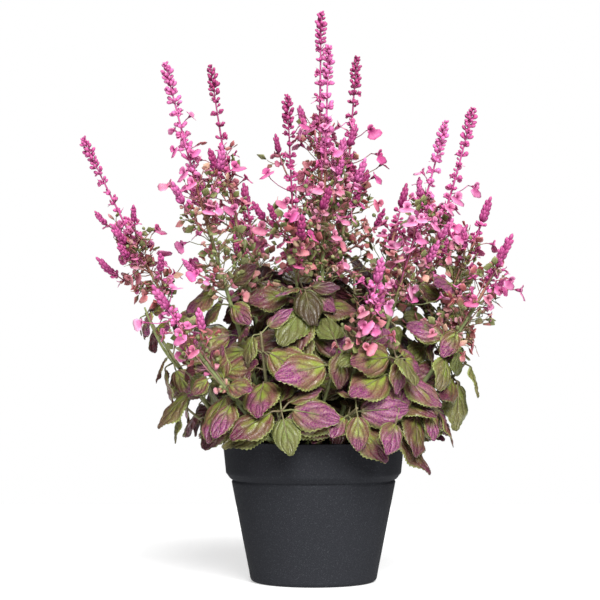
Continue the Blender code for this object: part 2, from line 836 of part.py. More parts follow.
class Plant:
    """Every stem, flower and leaf in its place, each grown clear of what stands there before it."""

    def __init__(self, ground):
        self.space = Space()
        self.flowering = [FlowerHead(stem) for stem in FLOWER_STEMS]
        self.leafy = [LeafyShoots(stem) for stem in LEAFY_STEMS]
        for plant in self.flowering:
            self.fix(f"stem {plant.stem.name}", plant.stalk.trial(plant.stalk.start))
            self.fix(f"head {plant.stem.name}", plant.head.trial(plant.head.start + HEAD_CLEAR))
            self.space.add(plant.whorl_room())
        for plant in self.leafy:
            for number, (limb, *_) in enumerate(plant.shoots):
                start = FORK_CLEAR if number else limb.start
                self.fix(f"shoot {plant.name} {number}", limb.trial(start))
        for shape in ground:
            self.space.add(shape)
        for grow in (self.grow_branches, self.grow_flowers, self.grow_calyces):
            for plant in self.flowering:
                grow(plant)
        for pair in range(len(MAIN_PAIRS)):
            for plant in self.leafy:
                self.grow_leaves(plant, pair)

    def fix(self, name, obstacle):
        """Places what the layout has already settled, and says so where it is in the way."""
        if not self.space.clear(obstacle):
            print("in the way:", name)
        self.space.add(obstacle)

    def take(self, limb, number, choices, start=None):
        """Grows the first of the choices that is clear. Each choice is a side and what sprouts there."""
        for side, sprout in choices:
            if (number, side) in limb.sprouts:
                continue
            obstacle = sprout.trial(limb.clearance(number) if start is None else start)
            if self.space.clear(obstacle):
                limb.sprouts[(number, side)] = sprout
                self.space.add(obstacle)
                return

    def grow_branches(self, plant):
        """The side branches of a head."""
        plan = plant.stem.plan
        for index, reach in plan.branches:
            number = plant.socket(index)
            choices = branch_choices(plant.head, number, (index % 2, index % 2 + 2), reach)
            self.take(plant.head, number, choices, BRANCH_CLEAR)

    def grow_flowers(self, plant):
        """The open flowers of a head."""
        for count, index in enumerate(plant.stem.plan.flowers):
            number = plant.socket(index)
            sides = [(index + 2 * count + k) % 4 for k in (0, 2, 1, 3)]
            choices = flower_choices(plant.head, f"{plant.stem.name} {count}", number, sides)
            self.take(plant.head, number, choices)

    def grow_calyces(self, plant):
        """The calyces of the green stem, in pairs at its upper nodes."""
        for number in range(len(CALYX_NODES)):
            for side in (number % 2, number % 2 + 2):
                choices = calyx_choices(plant.stalk, plant.stem.name, number, side)
                self.take(plant.stalk, number, ((side, bud) for bud in choices))

    def grow_leaves(self, plant, pair):
        """One pair of leaves on each shoot of a leafy stem, counted from its tip."""
        for index, (limb, pairs, skip, scale) in enumerate(plant.shoots):
            if pair >= len(pairs):
                continue
            number = skip + len(pairs) - 1 - pair
            size = pairs[pair][1] * scale
            for half in (0, 1):
                side = pair % 2 + 2 * half
                choices = leaf_choices(limb, f"{plant.name} {index}", number, side, size)
                self.take(limb, number, ((side, leaf) for leaf in choices))


def material(name, colour, roughness):
    """A plain plastic or plant finish."""
    made = bpy.data.materials.new(name)
    made.use_nodes = True
    shader = made.node_tree.nodes["Principled BSDF"]
    shader.inputs["Base Color"].default_value = (*colour, 1.0)
    shader.inputs["Roughness"].default_value = roughness
    shader.inputs["Metallic"].default_value = 0.0
    made.diffuse_color = (*colour, 1.0)
    return made


def lathe(profile, sides):
    """The body of a profile of (radius, height), from the foot of the axis up to it again, spun round."""
    body = Body()
    points = body.add((radius, 0.0, z) for radius, z in profile)
    edges = [body.mesh.edges.new(pair) for pair in zip(points, points[1:])]
    bmesh.ops.spin(
        body.mesh,
        geom=points + edges,
        cent=(0.0, 0.0, 0.0),
        axis=(0.0, 0.0, 1.0),
        angle=math.tau,
        steps=sides,
        use_merge=True,
    )
    bmesh.ops.remove_doubles(body.mesh, verts=body.mesh.verts[:], dist=1e-6)
    bmesh.ops.recalc_face_normals(body.mesh, faces=body.mesh.faces[:])
    return body


def round_off(made):
    """Shades a lathed piece smooth between its corners."""
    made.data.shade_smooth()
    made.data.set_sharp_from_angle(angle=math.radians(30))


def arc(centre, radius, first, last, steps):
    """Points of (radius, height) along an arc between two angles in degrees."""
    angles = [math.radians(first + (last - first) * i / steps) for i in range(steps + 1)]
    return [(centre[0] + radius * math.cos(a), centre[1] + radius * math.sin(a)) for a in angles]


def inner_radius(z):
    """The pot's inside radius at a height, a wall's thickness in from its outside."""
    heights = (0.0, POT_BODY_Z, POT_SHOULDER_Z, POT_BAND_Z, POT_HEIGHT)
    outside = (POT_FOOT_RADIUS, POT_BODY_RADIUS, POT_SHOULDER_RADIUS, POT_BAND_RADIUS, POT_RIM_RADIUS)
    return float(np.interp(z, heights, outside)) - POT_WALL


def pot():
    """The pot: a flat foot with a round edge, a tapered wall, a step out to the rim band, a round lip."""
    foot = arc((POT_FOOT_RADIUS - POT_FOOT_ROUND, POT_FOOT_ROUND), POT_FOOT_ROUND, -90, -11, 2)
    lip = (POT_RIM_RADIUS - POT_LIP_ROUND, POT_HEIGHT - POT_LIP_ROUND)
    profile = [(0.0, 0.0), *foot]
    profile += [(POT_BODY_RADIUS, POT_BODY_Z), (POT_SHOULDER_RADIUS, POT_SHOULDER_Z)]
    profile += [(POT_BAND_RADIUS, POT_BAND_Z), *arc(lip, POT_LIP_ROUND, 0, 90, 2)]
    profile += [(inner_radius(z), z) for z in (POT_HEIGHT, POT_BAND_Z, POT_BODY_Z, POT_FLOOR)]
    return lathe([*profile, (0.0, POT_FLOOR)], POT_SIDES)


def soil():
    """The soil before its holes: it fills the pot with a small gap all round and is heaped a little."""
    heights = (POT_FLOOR + SEAT_GAP, POT_BODY_Z, POT_BAND_Z, SOIL_TOP_Z)
    profile = [(0.0, heights[0]), *((inner_radius(z) - SOIL_RIM_GAP, z) for z in heights)]
    top = profile[-1][0]
    profile += [(0.6 * top, SOIL_TOP_Z + SOIL_CROWN * 0.64), (0.0, SOIL_TOP_Z + SOIL_CROWN)]
    return lathe(profile, SOIL_SIDES)


def drill(made, stems):
    """Cuts a plain hole for each stem, square like the stem and a little wider."""
    cutters = bpy.data.collections.new("holes")
    bpy.context.scene.collection.children.link(cutters)
    for number, stem in enumerate(stems):
        hole = Limb(stem.path, stem.start - SEAT_GAP, CUTTER_TOP, stem.bore, degrees=stem.degrees)
        cutter = hole.body().to_object(f"hole_{number}")
        bpy.context.scene.collection.objects.unlink(cutter)
        cutters.objects.link(cutter)
    cut = made.modifiers.new("holes", "BOOLEAN")
    cut.operation = "DIFFERENCE"
    cut.operand_type = "COLLECTION"
    cut.collection = cutters
    cut.solver = "MANIFOLD"
    graph = bpy.context.evaluated_depsgraph_get()
    drilled = bpy.data.meshes.new_from_object(made.evaluated_get(graph))
    made.modifiers.clear()
    made.data = drilled
    for cutter in list(cutters.objects):
        bpy.data.objects.remove(cutter)
    bpy.data.collections.remove(cutters)


def main():
    """Clears the scene and builds the pot, the soil and the plant."""
    for old in list(bpy.data.objects):
        bpy.data.objects.remove(old)
    plant = Plant([pot().obstacle(), soil().obstacle()])
    round_off(pot().to_object("pot", material("pot_plastic", (0.035, 0.037, 0.042), 0.55)))
    stems = [head.stalk for head in plant.flowering] + [leafy.main for leafy in plant.leafy]
    drill(soil().to_object("soil", material("soil", (0.020, 0.015, 0.012), 0.95)), stems)
    for flowering in plant.flowering:
        name = flowering.stem.name
        finish = material(f"stem_{name}", (0.20, 0.25, 0.11), 0.55)
        flowering.stalk.body().to_object(f"flower_stem_{name}", finish)
        finish = material(f"head_{name}", (0.62, 0.08, 0.34), 0.50)
        flowering.head.body().to_object(f"flower_head_{name}", finish)
    for leafy in plant.leafy:
        finish = material(f"leaves_{leafy.name}", (0.27, 0.20, 0.13), 0.55)
        leafy.main.body().to_object(f"leafy_stem_{leafy.name}", finish)


main()
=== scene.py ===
"""Potted woodland sage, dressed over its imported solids. Metres, +Z is up and -Y is the front."""

import logging
import math
import random
from dataclasses import dataclass, field
from enum import Enum
from itertools import product
from typing import Any, Callable, ClassVar, Iterable, Iterator, Sequence

import bpy
import numpy as np
from mathutils import Euler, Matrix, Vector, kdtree
from mathutils.bvhtree import BVHTree


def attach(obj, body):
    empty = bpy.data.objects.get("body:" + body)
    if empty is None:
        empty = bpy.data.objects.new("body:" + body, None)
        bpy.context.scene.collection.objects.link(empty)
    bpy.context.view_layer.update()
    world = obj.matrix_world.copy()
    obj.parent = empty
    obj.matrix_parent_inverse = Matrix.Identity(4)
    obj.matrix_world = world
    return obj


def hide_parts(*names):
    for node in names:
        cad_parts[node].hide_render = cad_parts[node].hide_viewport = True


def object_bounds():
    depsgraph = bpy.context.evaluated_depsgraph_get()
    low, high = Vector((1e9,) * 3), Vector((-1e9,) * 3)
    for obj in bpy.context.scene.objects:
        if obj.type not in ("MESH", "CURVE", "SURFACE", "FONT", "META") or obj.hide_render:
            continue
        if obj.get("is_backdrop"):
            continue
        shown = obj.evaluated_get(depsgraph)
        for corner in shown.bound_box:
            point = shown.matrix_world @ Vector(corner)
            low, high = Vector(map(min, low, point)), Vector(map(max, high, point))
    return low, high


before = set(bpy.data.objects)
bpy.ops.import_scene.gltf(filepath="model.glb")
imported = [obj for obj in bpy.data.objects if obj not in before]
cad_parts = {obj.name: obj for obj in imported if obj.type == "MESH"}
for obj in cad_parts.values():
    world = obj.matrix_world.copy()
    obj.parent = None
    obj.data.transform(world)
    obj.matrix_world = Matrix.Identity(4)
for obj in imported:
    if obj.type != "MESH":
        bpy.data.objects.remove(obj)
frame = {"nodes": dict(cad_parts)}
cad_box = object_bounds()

log = logging.getLogger("woodland_sage")

Vec = np.ndarray
Colour = tuple[float, float, float]
Sheet = tuple[Vec, Vec, BVHTree]
Pair = tuple[float, float]
Outline = Sequence[Pair]
Numbers = tuple[float, ...]
MM = 0.001
UP: Vec = np.array((0.0, 0.0, 1.0))
ZERO: Vec = np.zeros(3)
SOIL_TOP = 0.0975
ROOT_DEPTH = 0.022
# The points around a finished stem, and how far its four corners stand out.
STEM_SIDES, STEM_SQUARE = 12, 0.10
# How many side veins a leaf has for its length, how they slant from the midrib, and how they arch.
VEINS, VEIN_SLANT, VEIN_ARCH = 2.6, 0.62, 0.22


def srgb(*channels: float) -> Colour:
    """The linear light of a colour whose red, green and blue are given from 0 to 255."""
    shares = (channel / 255.0 for channel in channels)
    return tuple(s / 12.92 if s <= 0.04045 else ((s + 0.055) / 1.055) ** 2.4 for s in shares)


def unit(vector: Vec) -> Vec:
    """The vectors at length one, along their last axis."""
    return vector / np.linalg.norm(vector, axis=-1, keepdims=True)


def on_plane(vector: Vec, normal: Vec) -> Vec:
    """The vector's part that lies square to the normal, at length one."""
    return unit(vector - normal * np.dot(vector, normal))


def smooth(low: float, high: float, value: float | Vec) -> Vec:
    """A soft step from 0 at low to 1 at high: t squared times (3 - 2t)."""
    t = np.clip((np.asarray(value, float) - low) / (high - low), 0.0, 1.0)
    return t * t * (3.0 - 2.0 * t)


def blend(first: Sequence[float], second: Sequence[float], share: float | Vec) -> Vec:
    """The mixture of two colours, for one share or an array of them."""
    share = np.asarray(share, float)[..., None]
    return np.asarray(first, float) * (1.0 - share) + np.asarray(second, float) * share


def metres(place: Numbers) -> Vec:
    """A place that is given in millimetres."""
    return np.array(place) / 1000


def circle(sides: int) -> Vec:
    """Angles that go evenly round a circle."""
    return np.linspace(0.0, math.tau, sides, endpoint=False)


def turned_rings(outline: Outline, sides: int) -> Vec:
    """A ring for each (radius, height) of an outline: x = r cos a, y = r sin a, z = height."""
    (radius, height), angle = np.array(outline, float).T[:, :, None], circle(sides)
    return np.stack((radius * np.cos(angle), radius * np.sin(angle), height + 0.0 * angle), axis=-1)


def woven(rows: int, sides: int) -> Vec:
    """The faces between neighbouring rings, whose points are numbered ring by ring.

    Args:
        rows: The number of rings.
        sides: The points in each.

    Returns:
        The four corners of each face, (rows - 1, sides, 4).
    """
    index = np.arange(rows * sides).reshape(rows, sides)
    after = np.roll(index, -1, axis=1)
    return np.stack((index[:-1], after[:-1], after[1:], index[1:]), axis=-1)


def elbow(foot: Vec, tip: Vec, level: float, rise: float) -> Vec:
    """The point that lies these shares of the way to the tip, over the ground and up."""
    return foot + (tip - foot) * np.array((level, level, rise))


def seeded(words: str, factor: int) -> np.random.Generator:
    """Chances that a name settles."""
    return np.random.default_rng(sum(ord(letter) * factor for letter in words))


# Where things are.


class Line:
    """A stem's line, a quadratic Bezier curve that is read by the distance from its root."""

    def __init__(self, root: Vec, control: Vec, tip: Vec, samples: int = 48) -> None:
        """Samples (1-t)^2 root + 2t(1-t) control + t^2 tip, and the distance along it.

        Args:
            root: Where it starts.
            control: The point that it leans to on its way.
            tip: Where it ends.
            samples: How many points are worked out.
        """
        t = np.linspace(0.0, 1.0, samples)[:, None]
        root, control, tip = (np.array(p, float) for p in (root, control, tip))
        self.points = (1 - t) ** 2 * root + 2 * t * (1 - t) * control + t**2 * tip
        steps = np.linalg.norm(np.diff(self.points, axis=0), axis=1)
        self.distance = np.concatenate(([0.0], np.cumsum(steps)))
        self.length = float(self.distance[-1])
        plane = np.cross(control - root, tip - control)
        if np.linalg.norm(plane) < 1e-9:
            plane = np.cross(tip - root, (0.3, 0.9, 0.1))
        self.binormal = unit(plane)

    def at(self, distance: float) -> Vec:
        """The point this far from the root. Past an end the line goes straight on.

        Args:
            distance: Along the line.

        Returns:
            The point.
        """
        inside = min(max(distance, 0.0), self.length)
        point = np.array([np.interp(inside, self.distance, self.points[:, i]) for i in range(3)])
        return point + (distance - inside) * self.tangent(inside)

    def path(self, stops: Iterable[float]) -> Vec:
        """The points at these distances from the root."""
        return np.array([self.at(stop) for stop in stops])

    def tangent(self, distance: float) -> Vec:
        """The direction of growth this far from the root."""
        index = min(max(int(np.searchsorted(self.distance, distance)), 1), len(self.distance) - 1)
        return unit(self.points[index] - self.points[index - 1])

    def radial(self, distance: float, degrees: float) -> Vec:
        """The direction square to the line at this angle round it, counted from the curve's own plane."""
        second, angle = np.cross(self.tangent(distance), self.binormal), math.radians(degrees)
        return self.binormal * math.cos(angle) + second * math.sin(angle)

    def leaning(self, distance: float, degrees: float, lean: float) -> Vec:
        """The direction out from the line at this angle round it, where the line's own counts for one."""
        return unit(self.radial(distance, degrees) * lean + self.tangent(distance))

    def bearing(self, distance: float, direction: Vec) -> float:
        """The angle round the line at which a direction lies."""
        second = np.cross(self.tangent(distance), self.binormal)
        return math.degrees(math.atan2(np.dot(direction, second), np.dot(direction, self.binormal)))


@dataclass
class Axis:
    """A four-sided stem of the solids: its line, its radius, and the sockets that parts sprout from."""

    line: Line
    radius: Callable[[float], float]
    sockets: Numbers = ()
    degrees: float = 0.0
    socket_height: float = 0.0016

    def foot(self, number: int) -> Vec:
        """The point of the line behind a socket."""
        return self.line.at(self.sockets[number])

    def up(self, number: int) -> Vec:
        """The direction of growth at a socket."""
        return self.line.tangent(self.sockets[number])

    def out(self, number: int, side: int, turn: float = 0.0) -> Vec:
        """The direction in which a side of the stem faces at a socket, turned about the stem."""
        return self.line.radial(self.sockets[number], self.degrees + 45.0 + 90.0 * side + turn)

    def corners(self, number: int, side: int) -> Vec:
        """The corners of a socket.

        Args:
            number: The socket.
            side: The side of the stem.

        Returns:
            Low left, low right, high right and high left, as seen from outside.
        """
        points = []
        for right, high in ((0, -0.5), (1, -0.5), (1, 0.5), (0, 0.5)):
            stop = self.sockets[number] + high * self.socket_height
            out = self.line.radial(stop, self.degrees + 90.0 * (side + right))
            points.append(self.line.at(stop) + self.radius(stop) * out)
        return np.array(points)

    def child(self, number: int, side: int, tip: Vec, bend: Vec, radius: Callable[[float], float]) -> "Axis":
        """The stem that sprouts from a socket and ends at the tip, by way of the bend.

        Args:
            number: The socket.
            side: The side of the stem.
            tip: Where the new stem ends.
            bend: The control point of its line.
            radius: Its radius at a distance from its root.

        Returns:
            The new stem, whose line starts in the middle of the socket.
        """
        corners = self.corners(number, side)
        root = corners.mean(axis=0)
        line = Line(root, bend, tip)
        return Axis(line, radius, (), line.bearing(0.0, corners[0] - root))


def taper(first: float, last: float, length: float) -> Callable[[float], float]:
    """A radius that falls evenly from the first to the last over a length."""
    return lambda distance: first + (last - first) * min(max(distance / length, 0.0), 1.0)


class Witness:
    """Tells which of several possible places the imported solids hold, by the points of their meshes."""

    slack: float = 0.00005

    def __init__(self, nodes: dict[str, bpy.types.Object]) -> None:
        """Sorts each node's points into a tree.

        Args:
            nodes: The frame's nodes by their names.
        """
        self.trees = {}
        for name, node in nodes.items():
            tree = kdtree.KDTree(len(node.data.vertices))
            for index, vertex in enumerate(node.data.vertices):
                tree.insert(vertex.co, index)
            tree.balance()
            self.trees[name] = tree

    def holds(self, node: str, point: Vec) -> bool:
        """True if the node has a point here."""
        return self.trees[node].find(point)[2] < self.slack


# Meshes.


@dataclass(frozen=True)
class Form:
    """A small closed shape to set down many times: a grid of rings.

    Its first and last ring are closed to the two end points, or, where there are none, straight across
    from the upper to the lower face. Its axes are across (x), its upper side (y) and its growth (z). Its
    kind is 0 for stems and buds and 1 for petals.
    """

    rings: Vec
    ends: Vec
    along: Vec
    kind: float

    @staticmethod
    def turned(profile: Outline, sides: int) -> "Form":
        """A profile turned round the axis of growth.

        Args:
            profile: Radii and heights from the foot to the tip; the first and last radius are 0.
            sides: How many points a ring has.

        Returns:
            The closed form.
        """
        height = np.array(profile, float)[:, 1]
        ends = np.array(((0.0, 0.0, height[0]), (0.0, 0.0, height[-1])))
        return Form(turned_rings(profile[1:-1], sides), ends, height / height[-1], 0.0)

    @staticmethod
    def shell(upper: Vec, thickness: float) -> "Form":
        """A petal with two faces: the lower one is the upper one moved in along its normals.

        Args:
            upper: Points, (rows, columns, 3), from the base to the tip and from right to left.
            thickness: How far apart the faces are; the edge is a third as thick.

        Returns:
            The closed form.
        """
        normal = unit(np.cross(np.gradient(upper, axis=1), np.gradient(upper, axis=0)))
        depth = np.full(upper.shape[:2], thickness)
        depth[:, [0, -1]] *= 0.33
        lower = upper - normal * depth[..., None]
        rings = np.concatenate((upper, lower[:, ::-1]), axis=1)
        along = np.concatenate(((0.0,), np.linspace(0.0, 1.0, len(upper)), (1.0,)))
        return Form(rings, np.zeros((0, 3)), along, 1.0)


class Sheaf:
    """Gathers closed grids into one mesh, with a tint, a place and a mood for every point."""

    def __init__(self) -> None:
        """Starts empty."""
        self.points: list[Vec] = []
        self.values: dict[str, list[Vec]] = {"tint": [], "place": [], "mood": []}
        self.quads: list[Vec] = []
        self.triangles: list[Vec] = []
        self.count = 0
        self.crowds: dict[int, tuple[Form, list[tuple[Vec, Vec, Vec, Vec]]]] = {}

    @staticmethod
    def joined(rows: int, sides: int, pointed: bool) -> tuple[Vec, Vec]:
        """The faces of a grid of rings, and those that close its ends.

        Args:
            rows: The number of rings.
            sides: The points in each.
            pointed: Whether it ends in two points, which come after the grid, or in flat ladders.

        Returns:
            The quads and the triangles.
        """
        quads, last = woven(rows, sides).reshape(-1, 4), (rows - 1) * sides
        if pointed:
            ring, end = np.arange(sides), np.full(sides, rows * sides)
            after = np.roll(ring, -1)
            foot = np.stack((after, ring, end), axis=-1)
            tip = np.stack((ring + last, after + last, end + 1), axis=-1)
            return quads, np.concatenate((foot, tip))
        k = np.arange(sides // 2 - 1)
        rungs = np.stack((k, k + 1, sides - 2 - k, sides - 1 - k), axis=-1)
        return np.concatenate((quads, rungs[:, ::-1], rungs + last)), np.zeros((0, 3), int)

    def take(self, points: Vec, tint: Vec, place: Vec, mood: Vec, quads: Vec, triangles: Vec) -> None:
        """Adds points and faces.

        Args:
            points: The points.
            tint: A colour for each, or for all.
            place: A place on the surface, the same way.
            mood: Three numbers, the same way.
            quads: Faces of four corners, counted from the first of the points.
            triangles: Faces of three.
        """
        self.points.append(points)
        for name, values in (("tint", tint), ("place", place), ("mood", mood)):
            self.values[name].append(np.broadcast_to(values, (len(points), 3)))
        self.quads.append(quads + self.count)
        self.triangles.append(triangles + self.count)
        self.count += len(points)

    def grid(self, rings: Vec, ends: Vec, tint: Vec = ZERO, place: Vec = ZERO, mood: Vec = ZERO) -> None:
        """Adds one closed grid.

        Args:
            rings: Points, (rows, sides, 3), anticlockwise about the way they run.
            ends: The two end points, or none.
            tint: A colour for each point of the grid and the ends, or for all.
            place: A place on the surface for the same points.
            mood: Three numbers for the whole grid.
        """
        faces = self.joined(*rings.shape[:2], len(ends) > 0)
        self.take(np.concatenate((rings.reshape(-1, 3), ends)), tint, place, mood, *faces)

    def tube(
        self, centres: Vec, radii: Vec, tints: Vec, sides: int, square: float = 0.0, across: Vec | None = None
    ) -> None:
        """A stalk: rings of these radii square to a path, each point at centre + r (cos a, sin a).

        Args:
            centres: The path's points, from the foot up.
            radii: The radius at each.
            tints: A colour for each, or one for all.
            sides: The points in a ring.
            square: How far the corners stand out, for a four-sided stem: r (1 + square cos 4a).
            across: The direction of the ring's first point.
        """
        count = len(centres)
        tangent = unit(np.gradient(centres, axis=0))
        guide = across if across is not None else np.array((0.31, 0.87, 0.38))
        first = unit(guide - tangent * (tangent @ guide)[:, None])
        second = np.cross(tangent, first)
        angle = circle(sides)
        swell = (1.0 + square * np.cos(4.0 * angle))[None, :, None]
        ring = first[:, None] * np.cos(angle)[None, :, None] + second[:, None] * np.sin(angle)[None, :, None]
        rings = centres[:, None] + ring * swell * np.asarray(radii)[:, None, None]
        rows = np.broadcast_to(tints, (count, 3))
        tint = np.concatenate((np.repeat(rows, sides, axis=0), rows[:1], rows[-1:]))
        run = np.concatenate(([0.0], np.cumsum(np.linalg.norm(np.diff(centres, axis=0), axis=1))))
        place = np.zeros((count * sides + 2, 3))
        place[: count * sides, 0] = np.tile(angle, count)
        place[: count * sides, 1] = np.repeat(run, sides)
        self.grid(rings, centres[[0, -1]], tint, place)

    def set_down(
        self, form: Form, origin: Vec, lead: Vec, facing: Vec, size: Any, low: Vec = ZERO, high: Vec = ZERO
    ) -> None:
        """Notes a copy of a form, to be placed with all its like.

        Args:
            form: The shape.
            origin: Where its foot goes.
            lead: The direction of its growth.
            facing: The direction of its upper side.
            size: Its scale, or its scale across, up and along.
            low: The colour of its foot.
            high: The colour of its tip.
        """
        lead = unit(lead)
        facing = facing - lead * np.dot(facing, lead)
        if np.linalg.norm(facing) < 1e-6:
            facing = np.cross(lead, (0.3, 0.5, 0.8))
        facing = unit(facing)
        turn = np.array((np.cross(facing, lead), facing, lead)) * np.broadcast_to(size, 3)[:, None]
        crowd = self.crowds.setdefault(id(form), (form, []))[1]
        crowd.append((origin, turn, np.asarray(low, float), np.asarray(high, float)))

    def settle(self) -> None:
        """Places every noted copy: point = origin + x across + y facing + z lead, as whole arrays."""
        for form, crowd in self.crowds.values():
            rows, sides = form.rings.shape[:2]
            shape = np.concatenate((form.rings.reshape(-1, 3), form.ends))
            along = np.repeat(form.along[1:-1], sides)
            if len(form.ends):
                along = np.concatenate((along, form.along[[0, -1]]))
            origins, turns, lows, highs = (np.array(part) for part in zip(*crowd))
            points = origins[:, None] + np.einsum("kc,ncd->nkd", shape, turns)
            tints = lows[:, None] * (1 - along)[None, :, None] + highs[:, None] * along[None, :, None]
            place = np.stack((np.zeros_like(along), along, np.full_like(along, form.kind)), axis=-1)
            place[: rows * sides, 0] = np.tile(circle(sides), rows)
            offsets = len(shape) * np.arange(len(crowd))[:, None, None]
            faces = self.joined(rows, sides, len(form.ends) > 0)
            quads, triangles = ((part[None] + offsets).reshape(-1, part.shape[1]) for part in faces)
            places = np.tile(place, (len(crowd), 1))
            self.take(points.reshape(-1, 3), tints.reshape(-1, 3), places, ZERO, quads, triangles)
        self.crowds = {}

    def to_object(self, name: str, finish: bpy.types.Material) -> bpy.types.Object:
        """Puts all that was gathered in the scene as one smooth mesh with its attributes.

        Args:
            name: The piece's name.
            finish: Its material.

        Returns:
            The object, at the origin.
        """
        self.settle()
        quads, triangles = np.concatenate(self.quads), np.concatenate(self.triangles)
        corners = np.concatenate((quads.ravel(), triangles.ravel())).astype(np.int32)
        starts = np.concatenate((4 * np.arange(len(quads)), 4 * len(quads) + 3 * np.arange(len(triangles))))
        mesh = bpy.data.meshes.new(name)
        mesh.vertices.add(self.count)
        mesh.vertices.foreach_set("co", np.concatenate(self.points).astype(np.float32).ravel())
        mesh.loops.add(len(corners))
        mesh.loops.foreach_set("vertex_index", corners)
        mesh.polygons.add(len(starts))
        mesh.polygons.foreach_set("loop_start", starts.astype(np.int32))
        mesh.update(calc_edges=True)
        for label, parts in self.values.items():
            values, kind, key = np.concatenate(parts), "FLOAT_VECTOR", "vector"
            if label == "tint":
                values, kind, key = np.column_stack((values, np.ones(len(values)))), "FLOAT_COLOR", "color"
            made = mesh.attributes.new(label, kind, "POINT")
            made.data.foreach_set(key, values.astype(np.float32).ravel())
        mesh.shade_smooth()
        mesh.materials.append(finish)
        return linked(bpy.data.objects.new(name, mesh))


def linked(made: bpy.types.Object) -> bpy.types.Object:
    """The object, put in the scene."""
    bpy.context.scene.collection.objects.link(made)
    return made


def hand_over(piece: bpy.types.Object, slot: str, *nodes: str) -> None:
    """Makes a piece ride on the plant's one body.

    Args:
        piece: The finished piece.
        slot: What its material is for; not used.
        *nodes: The solids that it stands for.
    """
    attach(piece, "root")
    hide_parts(*nodes)
    log.info("%s: %d faces, for %s", piece.name, len(piece.data.polygons), ", ".join(nodes))


# Finishes.


@dataclass
class Value:
    """A number on a material's nodes, with the arithmetic that adds Math nodes."""

    tree: "Nodes"
    socket: Any

    def math(self, operation: str, *others: Any, clamp: bool = False) -> "Value":
        """A Math node on this value and others.

        Args:
            operation: What it works out.
            *others: The other numbers or Values.
            clamp: Whether the outcome is kept between 0 and 1.

        Returns:
            The outcome.
        """
        inputs = dict(enumerate((self, *others)))
        made = self.tree.add("ShaderNodeMath", {"operation": operation, "use_clamp": clamp}, inputs)
        return Value(self.tree, made.outputs[0])

    def __add__(self, other: Any) -> "Value":
        """Sum."""
        return self.math("ADD", other)

    def __sub__(self, other: Any) -> "Value":
        """Difference."""
        return self.math("SUBTRACT", other)

    def __rsub__(self, other: Any) -> "Value":
        """Difference from a number."""
        return (self * -1.0) + other

    def __mul__(self, other: Any) -> "Value":
        """Product."""
        return self.math("MULTIPLY", other)

    def __abs__(self) -> "Value":
        """Size without its sign."""
        return self.math("ABSOLUTE")

    __radd__, __rmul__ = __add__, __mul__

    def sine(self) -> "Value":
        """Sine."""
        return self.math("SINE")

    def fraction(self) -> "Value":
        """What is left over the whole number."""
        return self.math("FRACT")

    def held(self) -> "Value":
        """The value kept between 0 and 1."""
        return self.math("ADD", 0.0, clamp=True)

    def step(self, low: float, high: float) -> "Value":
        """A soft step from 0 at low to 1 at high.

        Args:
            low: The value where it is 0, which may be the larger.
            high: The value where it is 1.

        Returns:
            The step.
        """
        if low > high:
            return 1.0 - self.step(high, low)
        inputs = {"Value": self, "From Min": low, "From Max": high}
        made = self.tree.add("ShaderNodeMapRange", {"interpolation_type": "SMOOTHSTEP"}, inputs)
        return Value(self.tree, made.outputs[0])


